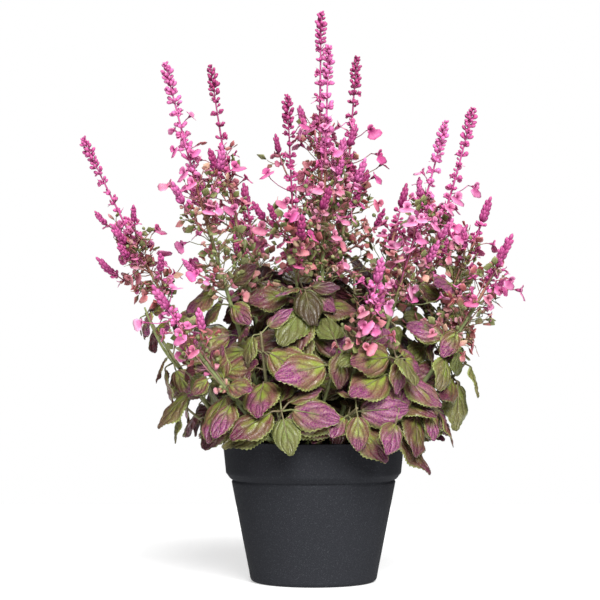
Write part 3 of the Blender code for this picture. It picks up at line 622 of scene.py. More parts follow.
class Nodes:
    """A material's nodes round its one Principled shader."""

    def __init__(self, name: str) -> None:
        """Makes the material.

        Args:
            name: What it is called.
        """
        self.material = bpy.data.materials.new(name)
        self.material.use_nodes = True
        self.tree = self.material.node_tree
        self.shader = self.tree.nodes["Principled BSDF"]

    def add(self, kind: str, settings: dict[str, Any], inputs: dict[Any, Any]) -> bpy.types.Node:
        """Adds a node, sets its settings first and then its sockets.

        Args:
            kind: The node's type.
            settings: Its own settings.
            inputs: Values, or links from a Value or a socket, by the socket's name or number.

        Returns:
            The node.
        """
        node = self.tree.nodes.new(kind)
        for name, value in settings.items():
            setattr(node, name, value)
        for key, value in inputs.items():
            self.put(node.inputs[key], value)
        return node

    def put(self, socket: bpy.types.NodeSocket, value: Any) -> None:
        """Links or sets one socket.

        Args:
            socket: The socket.
            value: A Value or a socket to link, or a number or a colour to set.
        """
        if isinstance(value, Value):
            value = value.socket
        if isinstance(value, bpy.types.NodeSocket):
            self.tree.links.new(value, socket)
        elif isinstance(value, (tuple, list)) and len(value) == 3 and socket.type == "RGBA":
            socket.default_value = (*value, 1.0)
        else:
            socket.default_value = value

    def attribute(self, name: str, output: str = "Vector") -> bpy.types.NodeSocket:
        """A mesh attribute, as a vector or a colour."""
        return self.add("ShaderNodeAttribute", {"attribute_name": name}, {}).outputs[output]

    def parts(self, vector: bpy.types.NodeSocket) -> tuple[Value, ...]:
        """The three numbers of a vector."""
        node = self.add("ShaderNodeSeparateXYZ", {}, {0: vector})
        return tuple(Value(self, out) for out in node.outputs)

    def mix(self, share: Any, first: Any, second: Any, way: str = "MIX") -> bpy.types.NodeSocket:
        """Two colours mixed."""
        settings = {"data_type": "RGBA", "blend_type": way}
        return self.add("ShaderNodeMix", settings, {0: share, 6: first, 7: second}).outputs[2]

    def noise(self, vector: Any, scale: float, detail: float = 2.0, rough: float = 0.5) -> Value:
        """A cloudy pattern from 0 to 1."""
        inputs = {"Vector": vector, "Scale": scale, "Detail": detail, "Roughness": rough}
        return Value(self, self.add("ShaderNodeTexNoise", {}, inputs).outputs[0])

    def cells(self, vector: Any, scale: float) -> Value:
        """A pattern of cells: the distance to their edges."""
        settings, inputs = {"feature": "DISTANCE_TO_EDGE"}, {"Vector": vector, "Scale": scale}
        return Value(self, self.add("ShaderNodeTexVoronoi", settings, inputs).outputs[0])

    def here(self) -> bpy.types.NodeSocket:
        """The point of the surface, in the object's own axes."""
        return self.add("ShaderNodeTexCoord", {}, {}).outputs["Object"]

    def bump(self, height: Value, distance: float, strength: float) -> None:
        """Raises the surface by a height in the light only."""
        inputs = {"Height": height, "Distance": distance, "Strength": strength}
        self.put(self.shader.inputs["Normal"], self.add("ShaderNodeBump", {}, inputs).outputs[0])

    def finish(self, colour: Any, roughness: Any, **settings: float) -> bpy.types.Material:
        """Sets the shader's colour, roughness and fixed values.

        Args:
            colour: A colour or a socket.
            roughness: A number or a Value.
            **settings: Other sockets of the shader, with underscores for spaces.

        Returns:
            The material.
        """
        self.put(self.shader.inputs["Base Color"], colour)
        self.put(self.shader.inputs["Roughness"], roughness)
        for name, value in settings.items():
            self.shader.inputs[name.replace("_", " ")].default_value = value
        return self.material


@dataclass(frozen=True)
class LeafFinish:
    """A sage leaf: lime beside the midrib, dusty rose outside, soft violet veins and a pale toothed rim."""

    name: str = "sage_leaf"
    margin: Colour = srgb(124, 138, 48)
    edge: Colour = srgb(172, 182, 104)
    dusty: Colour = srgb(128, 88, 70)
    rose: Colour = srgb(122, 50, 66)
    lime: Colour = srgb(146, 166, 58)
    plum: Colour = srgb(122, 34, 86)
    vein: Colour = srgb(84, 28, 52)
    violet: Colour = srgb(136, 40, 116)
    pale_vein: Colour = srgb(196, 116, 150)
    young: Colour = srgb(114, 134, 62)
    under: Colour = srgb(132, 60, 82)
    under_green: Colour = srgb(122, 122, 72)
    # The colour of painted shade, which inner and low leaves are darkened towards.
    painted_shade: Colour = srgb(56, 36, 32)
    pore: Colour = (0.02, 0.012, 0.012)
    cloud_scale: float = 60.0
    patch_scale: float = 170.0
    speck_scale: float = 900.0
    net_scale: float = 460.0
    relief: float = 0.0009

    def make(self) -> bpy.types.Material:
        """The material, which reads place (along, across, upper side) and mood (violet, green, dark).

        The side veins are where the fraction of VEINS (along - VEIN_SLANT wide - VEIN_ARCH wide^2) is a
        half, so they leave the midrib at a slant and arch towards the rim.

        Returns:
            The material.
        """
        nodes = Nodes(self.name)
        along, across, top = nodes.parts(nodes.attribute("place"))
        violet, green, dark = nodes.parts(nodes.attribute("mood"))
        wide = abs(across)
        here = nodes.here()
        cloud = nodes.noise(here, self.cloud_scale, 3.0)
        patch, speck = nodes.noise(here, self.patch_scale), nodes.noise(here, self.speck_scale)
        phase = (along - wide * VEIN_SLANT - wide * wide * VEIN_ARCH + (patch - 0.5) * 0.10) * VEINS
        gap = abs(phase.fraction() - 0.5)
        lane = gap.step(0.05, 0.40)
        vein = (gap.step(0.13, 0.0) * wide.step(1.0, 0.55) + wide.step(0.08, 0.01)).held()
        net = nodes.cells(here, self.net_scale).step(0.16, 0.02)
        rim = (wide + (cloud - 0.5) * 0.8 - along * 0.20).step(0.60, 0.95)
        heart = (wide + (patch - 0.5) * 0.5).step(0.62, 0.10) * (along + (cloud - 0.5) * 1.2).step(0.85, 0.30)
        tip = (along + (cloud - 0.5) * 1.6).step(0.36, 0.95) * wide.step(1.3, 0.5)
        spread = (violet * 1.1 + along * 0.9 - wide * 0.35 + (cloud - 0.5) * 1.8).step(0.70, 1.50)
        lilac = nodes.mix((net * 0.5 + lane * cloud * 0.3).held(), self.violet, self.pale_vein)
        pale = nodes.mix((1.0 - rim) * 0.12, self.young, self.dusty)
        base = nodes.mix((cloud * 1.6 + patch * 0.5 - 0.6).step(0.25, 0.75), self.dusty, self.rose)
        for share, colour in (
            ((heart * (lane * 0.5 + 0.5)).held(), self.lime),
            (tip * 0.85, self.plum),
            (rim * 0.75, self.margin),
            (green, pale),
            ((spread * violet.step(0.0, 0.15) * (1.0 - rim * 0.75)).held(), lilac),
            (vein * (0.42 - green * 0.20), self.vein),
            (net * 0.18, self.edge),
            (wide.step(0.89, 0.98) * 0.9, self.edge),
        ):
            base = nodes.mix(share, base, colour)
        back = nodes.mix(rim * 0.6 + lane * cloud * 0.4, self.under, self.under_green)
        # Painted shade: the mood's dark share mixes the blade towards the painted shade colour. For inner and
        # low leaves it stands in for shade inside the bush; a random part is the leaf's own darker tone.
        base = nodes.mix(dark, nodes.mix(top, back, base), self.painted_shade)
        base = nodes.mix(speck.step(0.62, 0.30) * 0.25, base, self.pore)
        height = (lane * 0.7 + speck * 0.3 - net * 0.3 - vein * 0.6) * (top * 2.0 - 1.0)
        nodes.bump(height, self.relief, 0.8)
        return nodes.finish(base, 0.34 + (patch - 0.5) * 0.25, Specular_IOR_Level=0.5)


@dataclass(frozen=True)
class TissueFinish:
    """Stems, buds and petals: the tint of each point, clouded, with fine veins along the petals."""

    name: str = "sage_tissue"
    roughness: float = 0.5
    cloud_scale: float = 260.0
    grain_scale: float = 900.0
    vein_count: float = 11.0
    relief: float = 0.0002

    def make(self) -> bpy.types.Material:
        """The material, which reads tint and place (round, along, petal or not).

        Returns:
            The material.
        """
        nodes = Nodes(self.name)
        tint = nodes.attribute("tint", "Color")
        around, along, petal = nodes.parts(nodes.attribute("place"))
        here = nodes.here()
        cloud, grain = nodes.noise(here, self.cloud_scale), nodes.noise(here, self.grain_scale, 1.0)
        lines = (around * self.vein_count).sine() * 0.5 + 0.5
        deep = nodes.mix(0.7, tint, nodes.mix(1.0, tint, tint, "MULTIPLY"))
        base = nodes.mix(cloud.step(0.42, 0.72) * 0.6, tint, deep)
        base = nodes.mix(lines * petal * (1.0 - along) * 0.35, base, deep)
        nodes.bump(grain + lines * petal * 0.5, self.relief, 0.6)
        return nodes.finish(base, self.roughness, Specular_IOR_Level=0.35)


@dataclass(frozen=True)
class PotFinish:
    """Moulded anthracite plastic: nearly matt, with a fine grain and a fine pale speckle."""

    name: str = "anthracite_plastic"
    colour: Colour = srgb(42, 43, 47)
    speckle: Colour = srgb(68, 70, 74)
    patch: Colour = srgb(40, 41, 44)
    grain_scale: float = 1300.0
    patch_scale: float = 30.0
    relief: float = 0.0003

    def make(self) -> bpy.types.Material:
        """Puts the finish on a material's nodes.

        Returns:
            The material.
        """
        nodes = Nodes(self.name)
        here = nodes.here()
        grain, broad = nodes.noise(here, self.grain_scale), nodes.noise(here, self.patch_scale, 3.0)
        base = nodes.mix(grain.step(0.54, 0.72) * 0.7, self.colour, self.speckle)
        base = nodes.mix((broad - 0.5) * 0.4 + 0.2, base, self.patch)
        nodes.bump(grain, self.relief, 0.7)
        return nodes.finish(base, 0.6 + (grain - 0.5) * 0.25, Specular_IOR_Level=0.015)


@dataclass(frozen=True)
class SoilFinish:
    """Dark peat with paler crumbs."""

    name: str = "peat"
    dark: Colour = srgb(38, 28, 22)
    pale: Colour = srgb(88, 66, 48)
    crumb_scale: float = 260.0
    patch_scale: float = 60.0
    relief: float = 0.0015

    def make(self) -> bpy.types.Material:
        """Puts the finish on a material's nodes.

        Returns:
            The material.
        """
        nodes = Nodes(self.name)
        here = nodes.here()
        crumbs, broad = nodes.noise(here, self.crumb_scale, 4.0, 0.7), nodes.noise(here, self.patch_scale)
        base = nodes.mix(crumbs.step(0.42, 0.72) * broad, self.dark, self.pale)
        nodes.bump(crumbs, self.relief, 1.0)
        return nodes.finish(base, 0.95, Specular_IOR_Level=0.2)


# Leaves.


@dataclass
class Leaf:
    """One leaf: the foot of its stalk, its blade's base, the way it points and faces, and its size."""

    foot: Vec
    lead: Vec
    base: Vec
    along: Vec
    normal: Vec
    size: float
    droop: float
    length: ClassVar[float] = 0.042
    width: ClassVar[float] = 0.031
    dome: ClassVar[float] = 38.0
    arch: ClassVar[float] = 38.0
    petiole: ClassVar[float] = 0.009
    lowest: ClassVar[float] = 0.115
    highest: ClassVar[float] = 0.235

    @classmethod
    def grown(
        cls, foot: Vec, out: Vec, jitter: Vec, lift: float, size: float, scale: float, bow: float
    ) -> "Leaf":
        """A leaf that leaves its stem this way: it faces out and up, more outward half-way up the plant.

        Args:
            foot: The point of the stem's line that it grows from.
            out: The direction that its side of the stem faces.
            jitter: What is added to the direction that it faces.
            lift: How far its tip is raised, in degrees.
            size: The size that its stalk is made for.
            scale: The size of its blade.
            bow: How much more than usual it arches over.

        Returns:
            The leaf.
        """
        outward = unit(np.array((foot[0], foot[1], 0.004)))
        height = min(max((foot[2] - cls.lowest) / (cls.highest - cls.lowest), 0.0), 1.0)
        facing = 0.50 + 0.30 * math.sin(math.pi * height)
        level = unit(outward * facing + UP * (1.15 - facing) + 0.24 * jitter)
        ahead = on_plane(out - 0.20 * UP + 1e-3 * outward, level)
        tilt = math.radians(lift - 8.0)
        along = ahead * math.cos(tilt) + level * math.sin(tilt)
        normal = level * math.cos(tilt) - ahead * math.sin(tilt)
        lead = unit(0.6 * out + 0.5 * along + 0.25 * normal + 0.15 * UP)
        base = foot + cls.petiole * (0.55 + 0.45 * size) * lead
        return cls(foot, lead, base, along, normal, scale, cls.arch * (1.0 + 0.4 * bow))

    def half_width(self, u: Vec) -> Vec:
        """Half the blade's width: u^0.55 (1-u)^0.85, over its greatest value."""
        return 0.5 * self.width * self.size * u**0.55 * (1 - u) ** 0.85 / 0.3914

    def points(self, u: Vec, across: Vec, drop: Vec) -> Vec:
        """Points of the blade: the rib is an arc that droops, and the blade bends down from it on both sides.

        Args:
            u: How far along the blade, 0 to 1.
            across: Metres from the rib.
            drop: Metres below the upper face.

        Returns:
            The points, one for each entry.
        """
        u, across, drop = (np.asarray(a, float)[..., None] for a in (u, across, drop))
        bend = math.radians(self.droop) * u + 1e-6
        reach = self.length * self.size * u / bend
        curl = math.radians(self.dome) / (0.5 * self.width * self.size)
        facing = self.normal * np.cos(bend) + self.along * np.sin(bend)
        rib = self.base + self.along * reach * np.sin(bend) - self.normal * reach * (1 - np.cos(bend))
        side = np.cross(self.normal, self.along) * np.sin(across * curl) / curl
        return rib + side - facing * ((1 - np.cos(across * curl)) / curl + drop)

    def tip(self) -> Vec:
        """The point of the blade's tip."""
        return self.points(1.0, 0.0, 0.0)


@dataclass
class LeafCutter:
    """Makes the fine blades: a toothed outline, a keel, a waved margin and a thin edge."""

    rows: int = 30
    columns: int = 4
    tooth: float = 0.020
    thickness: float = 0.0004
    draw_in: float = 0.24
    rib_height: float = 0.00065
    keel_depth: float = 0.0015
    ripple_height: float = 0.0012
    stalk_radius: float = 0.0009

    def blade(self, leaf: Leaf, sheaf: Sheaf, mood: Vec, wave: float) -> None:
        """Adds a blade.

        Every ring of the grid goes across the upper face, from right to left, and back across the lower
        one. The margin is out at every other row, which makes the teeth. The face is folded along the
        rib, rises between its side veins, and its margin waves.

        Args:
            leaf: Where it is.
            sheaf: The mesh to add it to.
            mood: How violet, green and dark it is.
            wave: Where the ripple of its margin starts.
        """
        t = (np.arange(self.rows) + 1.0) / (self.rows + 1.0)
        share = np.arange(self.columns, -self.columns - 1, -1) / self.columns
        uu, vv = np.meshgrid(t**1.2, np.sign(share) * np.abs(share) ** 0.85, indexing="ij")
        wide, rim = np.abs(vv), (np.abs(vv) > 0.99).astype(float)
        out = np.where(np.arange(self.rows) % 2 == 0, 1.0, -0.8)[:, None]
        reach = self.tooth * leaf.width * leaf.size * out * smooth(0.0, 0.12, uu) * smooth(1.02, 0.86, uu)
        slim = 1.0 - self.draw_in * smooth(0.50, 0.95, uu)
        across = vv * leaf.half_width(uu) * slim + np.sign(vv) * rim * reach
        uu = uu + rim * 0.004 * (out > 0)
        inside = smooth(0.0, 0.12, uu) * smooth(1.0, 0.8, uu)
        slant = np.cos(math.tau * VEINS * (uu - VEIN_SLANT * wide - VEIN_ARCH * wide**2))
        ribs = self.rib_height * slant * smooth(0.0, 0.3, wide) * smooth(1.05, 0.7, wide)
        keel = -self.keel_depth * np.exp(-((wide / 0.24) ** 2))
        ripple = self.ripple_height * np.sin(math.tau * (2.0 * uu + wave) + 2.0 * np.sign(vv)) * wide**2
        rise = leaf.size * inside * (ribs + keel + ripple)
        upper = leaf.points(uu, across, -rise)
        lower = leaf.points(uu, across, self.thickness * (1.0 - 0.7 * rim) - rise)
        top = np.ones_like(uu)
        faces = ((upper, lower), (uu, uu), (vv, vv), (top, 0.0 * top))
        rings, *place = (np.concatenate((above, below[:, ::-1]), axis=1) for above, below in faces)
        sheaf.grid(rings, np.zeros((0, 3)), ZERO, np.stack(place, axis=-1).reshape(-1, 3), mood)

    def stalk(self, leaf: Leaf, sheaf: Sheaf, tint: Vec) -> None:
        """Adds the leaf's stalk: a cubic Bezier curve from its stem that comes into the blade along the rib.

        Args:
            leaf: Where it is.
            sheaf: The mesh to add it to.
            tint: Its colour.
        """
        reach, t = np.linalg.norm(leaf.base - leaf.foot), np.linspace(0.0, 1.0, 6)[:, None]
        bends = (leaf.foot + 0.45 * reach * leaf.lead, leaf.base - 0.25 * reach * leaf.along)
        weights = ((1 - t) ** 3, 3 * t * (1 - t) ** 2, 3 * t**2 * (1 - t), t**3)
        path = sum(weight * end for weight, end in zip(weights, (leaf.foot, *bends, leaf.base)))
        inside = leaf.points((0.10, 0.30, 0.55), 0.0, self.thickness + 0.0006 * leaf.size)
        taper_off = np.array((1.0, 0.9, 0.8, 0.75, 0.75, 0.7, 0.6, 0.45, 0.25))
        radii = taper_off * self.stalk_radius * (0.6 + 0.4 * leaf.size)
        sheaf.tube(np.concatenate((path, inside)), radii, tint, 6)


class Room:
    """What has been placed, as coarse sheets, so that further leaves can be laid clear of it."""

    def __init__(self) -> None:
        """Starts empty."""
        self.lows: list[Vec] = []
        self.highs: list[Vec] = []
        self.trees: list[BVHTree] = []
        self.corners: tuple[Vec, Vec] | None = None

    @staticmethod
    def sheet(grid: Vec, closed: bool = False) -> Sheet:
        """A grid of points as a surface to test.

        Args:
            grid: Points, (rows, columns, 3).
            closed: Whether its last column joins the first.

        Returns:
            Its lowest and highest corner and its faces.
        """
        quads = woven(*grid.shape[:2])
        quads = quads if closed else quads[:, :-1]
        points = grid.reshape(-1, 3)
        tree = BVHTree.FromPolygons(points.tolist(), quads.reshape(-1, 4).tolist())
        return points.min(axis=0), points.max(axis=0), tree

    def blade(self, leaf: Leaf) -> Sheet:
        """A leaf as a coarse sheet."""
        uu, vv = np.meshgrid((0.03, 0.25, 0.5, 0.75, 0.97), (-1.0, -0.5, 0.0, 0.5, 1.0), indexing="ij")
        return self.sheet(leaf.points(uu, vv * leaf.half_width(uu), np.zeros_like(uu)))

    def add(self, shape: Sheet) -> None:
        """Notes a surface."""
        for values, value in zip((self.lows, self.highs, self.trees), shape):
            values.append(value)

    def add_tube(self, line: Line, first: float, last: float, radius: float = 0.0016) -> None:
        """Notes a stem.

        Args:
            line: Its line.
            first: Where it begins, from the line's root.
            last: Where it ends.
            radius: Its radius.
        """
        stops, ways = np.linspace(first, last, 8), (0.0, 120.0, 240.0)
        rows = [[line.at(stop) + radius * line.radial(stop, way) for way in ways] for stop in stops]
        self.add(self.sheet(np.array(rows), closed=True))

    def close(self) -> None:
        """Sets how far further leaves may reach: no further than what is noted so far."""
        self.corners = (np.min(self.lows, axis=0), np.max(self.highs, axis=0))

    def free(self, shape: Sheet) -> bool:
        """Whether there is room for a surface.

        Args:
            shape: The surface.

        Returns:
            True if it stays within the reach that was set and crosses nothing that was noted.
        """
        low, high, tree = shape
        if (low < self.corners[0]).any() or (high > self.corners[1]).any():
            return False
        near = (np.array(self.lows) <= high).all(axis=1) & (np.array(self.highs) >= low).all(axis=1)
        return not any(tree.overlap(self.trees[index]) for index in np.flatnonzero(near))


@dataclass
class Foliage:
    """The leaves of one stem: those of the solids, cut finely, and lesser ones between them."""

    cutter: LeafCutter
    coarse: LeafCutter
    draw: np.random.Generator
    held: list[tuple[Leaf, bool]] = field(default_factory=list)
    added: list[tuple[Leaf, bool]] = field(default_factory=list)
    lowest: float = 0.100
    green: Colour = srgb(134, 142, 92)
    purple: Colour = srgb(120, 78, 84)

    def grow(
        self, room: Room, line: Line, stop: float, degrees: float, sizes: Iterable[float], young: bool
    ) -> None:
        """Adds one leaf, of the first size that crosses nothing.

        Leaves at the plant's two flanks are turned a little to its front.

        Args:
            room: What is placed already.
            line: The stem's line.
            stop: How far up the stem it grows.
            degrees: The side of the stem.
            sizes: The sizes to try.
            young: Whether it takes the colours of young leaves.
        """
        pick = self.draw.uniform
        for size in sizes:
            out, foot = line.radial(stop, degrees + pick(-40.0, 40.0)), line.at(stop)
            jitter, lift, bow = pick(-1.6, 1.6, 3), pick(-30.0, 45.0), pick(-0.6, 1.0)
            jitter[1] -= 3.0 * smooth(0.03, 0.11, abs(foot[0])) * smooth(0.05, -0.02, foot[1])
            leaf = Leaf.grown(foot, out, jitter, lift, min(size, 1.0), size, bow)
            shape = room.blade(leaf)
            if shape[0][2] > self.lowest and room.free(shape):
                room.add(shape)
                self.added.append((leaf, young))
                return

    def mood(self, leaf: Leaf, young: bool, lesser: bool) -> Vec:
        """How violet, green and dark a leaf is.

        Args:
            leaf: Where it is; the inner and the low ones are darkened with painted shade, standing in for the
                shade inside the bush and low down.
            young: Young ones are violet or pale.
            lesser: Lesser ones get more painted shade inside the plant.

        Returns:
            The three shares.
        """
        pick = self.draw.uniform
        violet, green, chance = 0.0, 0.0, pick()
        if young:
            violet = pick(0.5, 1.0) if chance < 0.55 else 0.0
            green = pick(0.4, 0.9) if chance > 0.75 else 0.0
        elif chance < 0.55:
            violet = 0.30 + 0.65 * pick() ** 1.3
        elif chance > 0.82:
            green = pick(0.3, 0.9)
        x, y, z = leaf.points(0.5, 0.0, 0.0)
        # Painted shade: leaves near the axis, the lesser ones most, and low leaves are darkened as if shaded
        # inside the bush. The plain share is the leaves' own random darker tone.
        inner = (0.75 if lesser else 0.35) * smooth(0.105, 0.035, np.hypot(x, y)) * pick(0.4, 1.0)
        plain = 0.30 * smooth(0.55, 0.80, chance) * smooth(0.84, 0.80, chance)
        return np.array((violet, green, inner + 0.20 * smooth(0.180, 0.120, z) + plain))

    def build(self, name: str, finish: bpy.types.Material, stalks: Sheaf) -> bpy.types.Object:
        """Makes the blades, in one piece.

        Args:
            name: The piece's name.
            finish: The material of the blades.
            stalks: The mesh that their stalks are added to.

        Returns:
            The piece.
        """
        blades = Sheaf()
        for cutter, leaves in ((self.cutter, self.held), (self.coarse, self.added)):
            for leaf, young in leaves:
                mood = self.mood(leaf, young, leaves is self.added)
                cutter.blade(leaf, blades, mood, float(self.draw.uniform()))
                cutter.stalk(leaf, stalks, blend(self.green, self.purple, self.draw.uniform(0.0, 0.6)))
        log.info("%s: %d leaves of the solids and %d more", name, len(self.held), len(self.added))
        return blades.to_object(name, finish)


# Flowers.


class Blooms:
    """The small shapes of a spray, worked out once and set down many times."""

    def __init__(self) -> None:
        """Works out each shape from its profile or its fan, in millimetres."""
        self.club = self.turned(5, (0.0, 0.0), (0.34, 1.5), (1.0, 2.7), (1.25, 3.8), (0.90, 4.8), (0.0, 5.4))
        self.fat = self.turned(6, (0.0, 0.0), (0.7, 0.5), (1.55, 2.3), (1.8, 4.4), (1.35, 6.4), (0.0, 7.8))
        self.ball = self.turned(5, (0.0, 0.0), (1.0, 0.5), (1.5, 1.6), (1.0, 2.7), (0.0, 3.2))
        self.cup = self.turned(5, (0.0, 0.0), (0.6, 0.3), (1.25, 1.9), (1.5, 4.0), (0.0, 3.2))
        self.sliver = self.turned(3, (0.0, 0.0), (0.28, 0.6), (0.24, 2.4), (0.0, 4.4))
        self.lip = self.fan(8.4, 60.0, -0.35, 0.35, 0.20, 7, 4)
        self.hood = self.fan(6.2, 56.0, 0.15, -0.50, 0.10, 5, 4)
        self.lobe = self.fan(5.4, 44.0, -0.15, 0.40, 0.0, 5, 3)
        self.petal = self.fan(5.6, 50.0, 0.25, -0.45, 0.12, 5, 3)
        self.leaflet = self.fan(5.2, 42.0, -0.15, 0.35, -0.20, 5, 4)

    @staticmethod
    def turned(sides: int, *profile: Pair) -> Form:
        """A turned form whose profile is in millimetres."""
        return Form.turned([(r * MM, z * MM) for r, z in profile], sides)

    @staticmethod
    def fan(
        length: float, opening: float, bend: float, cup: float, notch: float, columns: int, rows: int
    ) -> Form:
        """A petal that spreads like a fan from its base.

        At angle a off its middle and the share q of the way out, v being a over the opening, a point lies
        at the distance r = q length (1 - 0.22 v^2 - notch exp(-(v / 0.22)^2)), with the notch and a small
        wave growing towards the rim: across r sin a, along r cos a, and up by bend r q, by cup times
        across^2 over the length, and by a ripple of the rim.

        Args:
            length: From the base to the rim, in millimetres.
            opening: How far the fan opens to each side, in degrees.
            bend: How far it turns up, or down where it is below 0.
            cup: How far its sides rise.
            notch: How deep the middle of its rim is cut; below 0 it is drawn out.
            columns: The points across it.
            rows: The points along it.

        Returns:
            The form.
        """
        out = np.linspace(0.0, 1.0, rows) ** 0.75
        q, v = np.meshgrid(0.1 + 0.9 * out, np.linspace(1.0, -1.0, columns), indexing="ij")
        angle, edge = np.radians(opening) * v, smooth(0.3, 1.0, q)
        cut = edge * (notch * np.exp(-((v / 0.22) ** 2)) - 0.04 * np.cos(9.0 * v))
        r = q * length * (1.0 - 0.22 * v**2 - cut)
        across = r * np.sin(angle)
        up = bend * r * q + cup * across**2 / length + 0.25 * edge * np.sin(7.0 * v)
        return Form.shell(np.stack((across, up, r * np.cos(angle)), axis=-1) * MM, 0.25 * MM)


class Tone(Enum):
    """How strong the pink of a spray is: its buds, its petals and the petals' rims."""

    BRIGHT = (srgb(196, 90, 154), srgb(226, 124, 184), srgb(240, 182, 212))
    MIDDLE = (srgb(172, 66, 128), srgb(208, 98, 160), srgb(232, 156, 196))
    DEEP = (srgb(146, 46, 102), srgb(188, 76, 134), srgb(220, 132, 174))


@dataclass(frozen=True)
class HeadPlan:
    """A flower head of the solids: how far down from its tip each part is."""

    length: float
    dense: float
    whorls: Numbers
    sockets: Numbers
    flowers: tuple[int, ...]
    branches: tuple[tuple[int, float], ...]


TALL = HeadPlan(
    length=0.148,
    dense=0.027,
    whorls=(0.036, 0.048, 0.062, 0.078),
    sockets=(0.094, 0.112, 0.134),
    flowers=(0, 0, 1, 2),
    branches=((1, 0.050), (2, 0.058)),
)
SHORT = HeadPlan(
    length=0.072,
    dense=0.023,
    whorls=(0.031,),
    sockets=(0.046, 0.062),
    flowers=(0, 1),
    branches=((1, 0.036),),
)


@dataclass(frozen=True)
class FlowerStem:
    """One flowering stem: its tip, its colour, how straight it is, its root, and what stands off from it.

    Places are (x, y, z) in millimetres, a root is (x, y), and the flowers that stand off are (x, z).
    """

    name: str
    tip: Numbers
    tone: Tone
    plan: HeadPlan = TALL
    straight: float = 0.5
    root: Numbers = ()
    twigs: tuple[Numbers, ...] = ()
    blossoms: tuple[Numbers, ...] = ()

    def line(self) -> Line:
        """Works out the stem's line.

        Returns:
            The line, from the soil to the tip.
        """
        tip = metres(self.tip)
        root = np.array((*(metres(self.root) if self.root else tip[:2] * 0.22), SOIL_TOP))
        lean = 0.56 + 0.28 * (self.straight - 0.5)
        return Line(root, elbow(root, tip, lean, 0.46), tip)


FLOWER_STEMS = (
    FlowerStem(
        "a", (-178, -10, 343), Tone.MIDDLE,
        twigs=((-168, -25, 287), (-137, -40, 291), (-116, -50, 254), (-149, -40, 262)),
        blossoms=((-130, 250), (-112, 232), (-100, 246), (-124, 268), (-138, 238), (-118, 244)),
    ),
    FlowerStem(
        "b", (-112, -60, 396), Tone.BRIGHT, twigs=((-100, -50, 250),),
        blossoms=((-101, 330), (-103, 299), (-78, 286), (-94, 262), (-86, 236)),
    ),
    FlowerStem(
        "c", (-82, 50, 405), Tone.DEEP, straight=0.75, twigs=((-62, 20, 270),),
        blossoms=((-64, 318), (-73, 257), (-85, 328)),
    ),
    FlowerStem(
        "d", (-20, -70, 371), Tone.DEEP, straight=0.6,
        twigs=((-29, -62, 343), (-46, -75, 292), (-34, -85, 290)),
        blossoms=((-12, 346), (-19, 277), (-38, 272), (-14, 255), (-32, 308)),
    ),
    FlowerStem("e", (6, 15, 443), Tone.MIDDLE, blossoms=((-5, 301), (-6, 340))),
    FlowerStem(
        "f", (11, -35, 412), Tone.BRIGHT, twigs=((22, -40, 328),),
        blossoms=((24, 352), (22, 280), (-3, 342)),
    ),
    FlowerStem(
        "g", (35, 65, 413), Tone.DEEP, straight=0.4,
        twigs=((56, 20, 290), (37, 45, 312)),
        blossoms=((46, 334), (43, 312), (48, 294), (42, 352), (50, 322)),
    ),
    FlowerStem(
        "h", (100, -45, 353), Tone.BRIGHT, twigs=((80, -40, 312),),
        blossoms=((71, 284), (95, 275), (76, 273), (97, 254), (93, 217), (70, 227)),
    ),
    FlowerStem(
        "i", (127, 45, 370), Tone.MIDDLE, straight=0.8, twigs=((104, 0, 267),),
        blossoms=((103, 288), (122, 308), (100, 232)),
    ),
    FlowerStem(
        "j", (139, 12, 300), Tone.MIDDLE, SHORT, 0.8, (34, 1), ((117, 0, 274),),
        ((116, 256), (130, 240), (112, 222)),
    ),
    FlowerStem(
        "k", (152, -30, 269), Tone.MIDDLE, SHORT, 0.8, (36, -10), ((143, -35, 260),),
        ((146, 235), (150, 226)),
    ),
    FlowerStem(
        "l", (-120, -95, 230), Tone.BRIGHT, SHORT, root=(-20, -50),
        blossoms=((-121, 201), (-105, 193), (-105, 221)),
    ),
    FlowerStem("m", (50, -110, 251), Tone.BRIGHT, SHORT),
    FlowerStem("n", (-57, 105, 315), Tone.DEEP, SHORT),
    FlowerStem("o", (77, 100, 315), Tone.DEEP, SHORT, root=(12, 44)),
)


@dataclass(frozen=True)
class Seat:
    """Where a part of a spray grows: its foot, the way it looks, and how far below the tip it is."""

    foot: Vec
    lead: Vec
    below: float


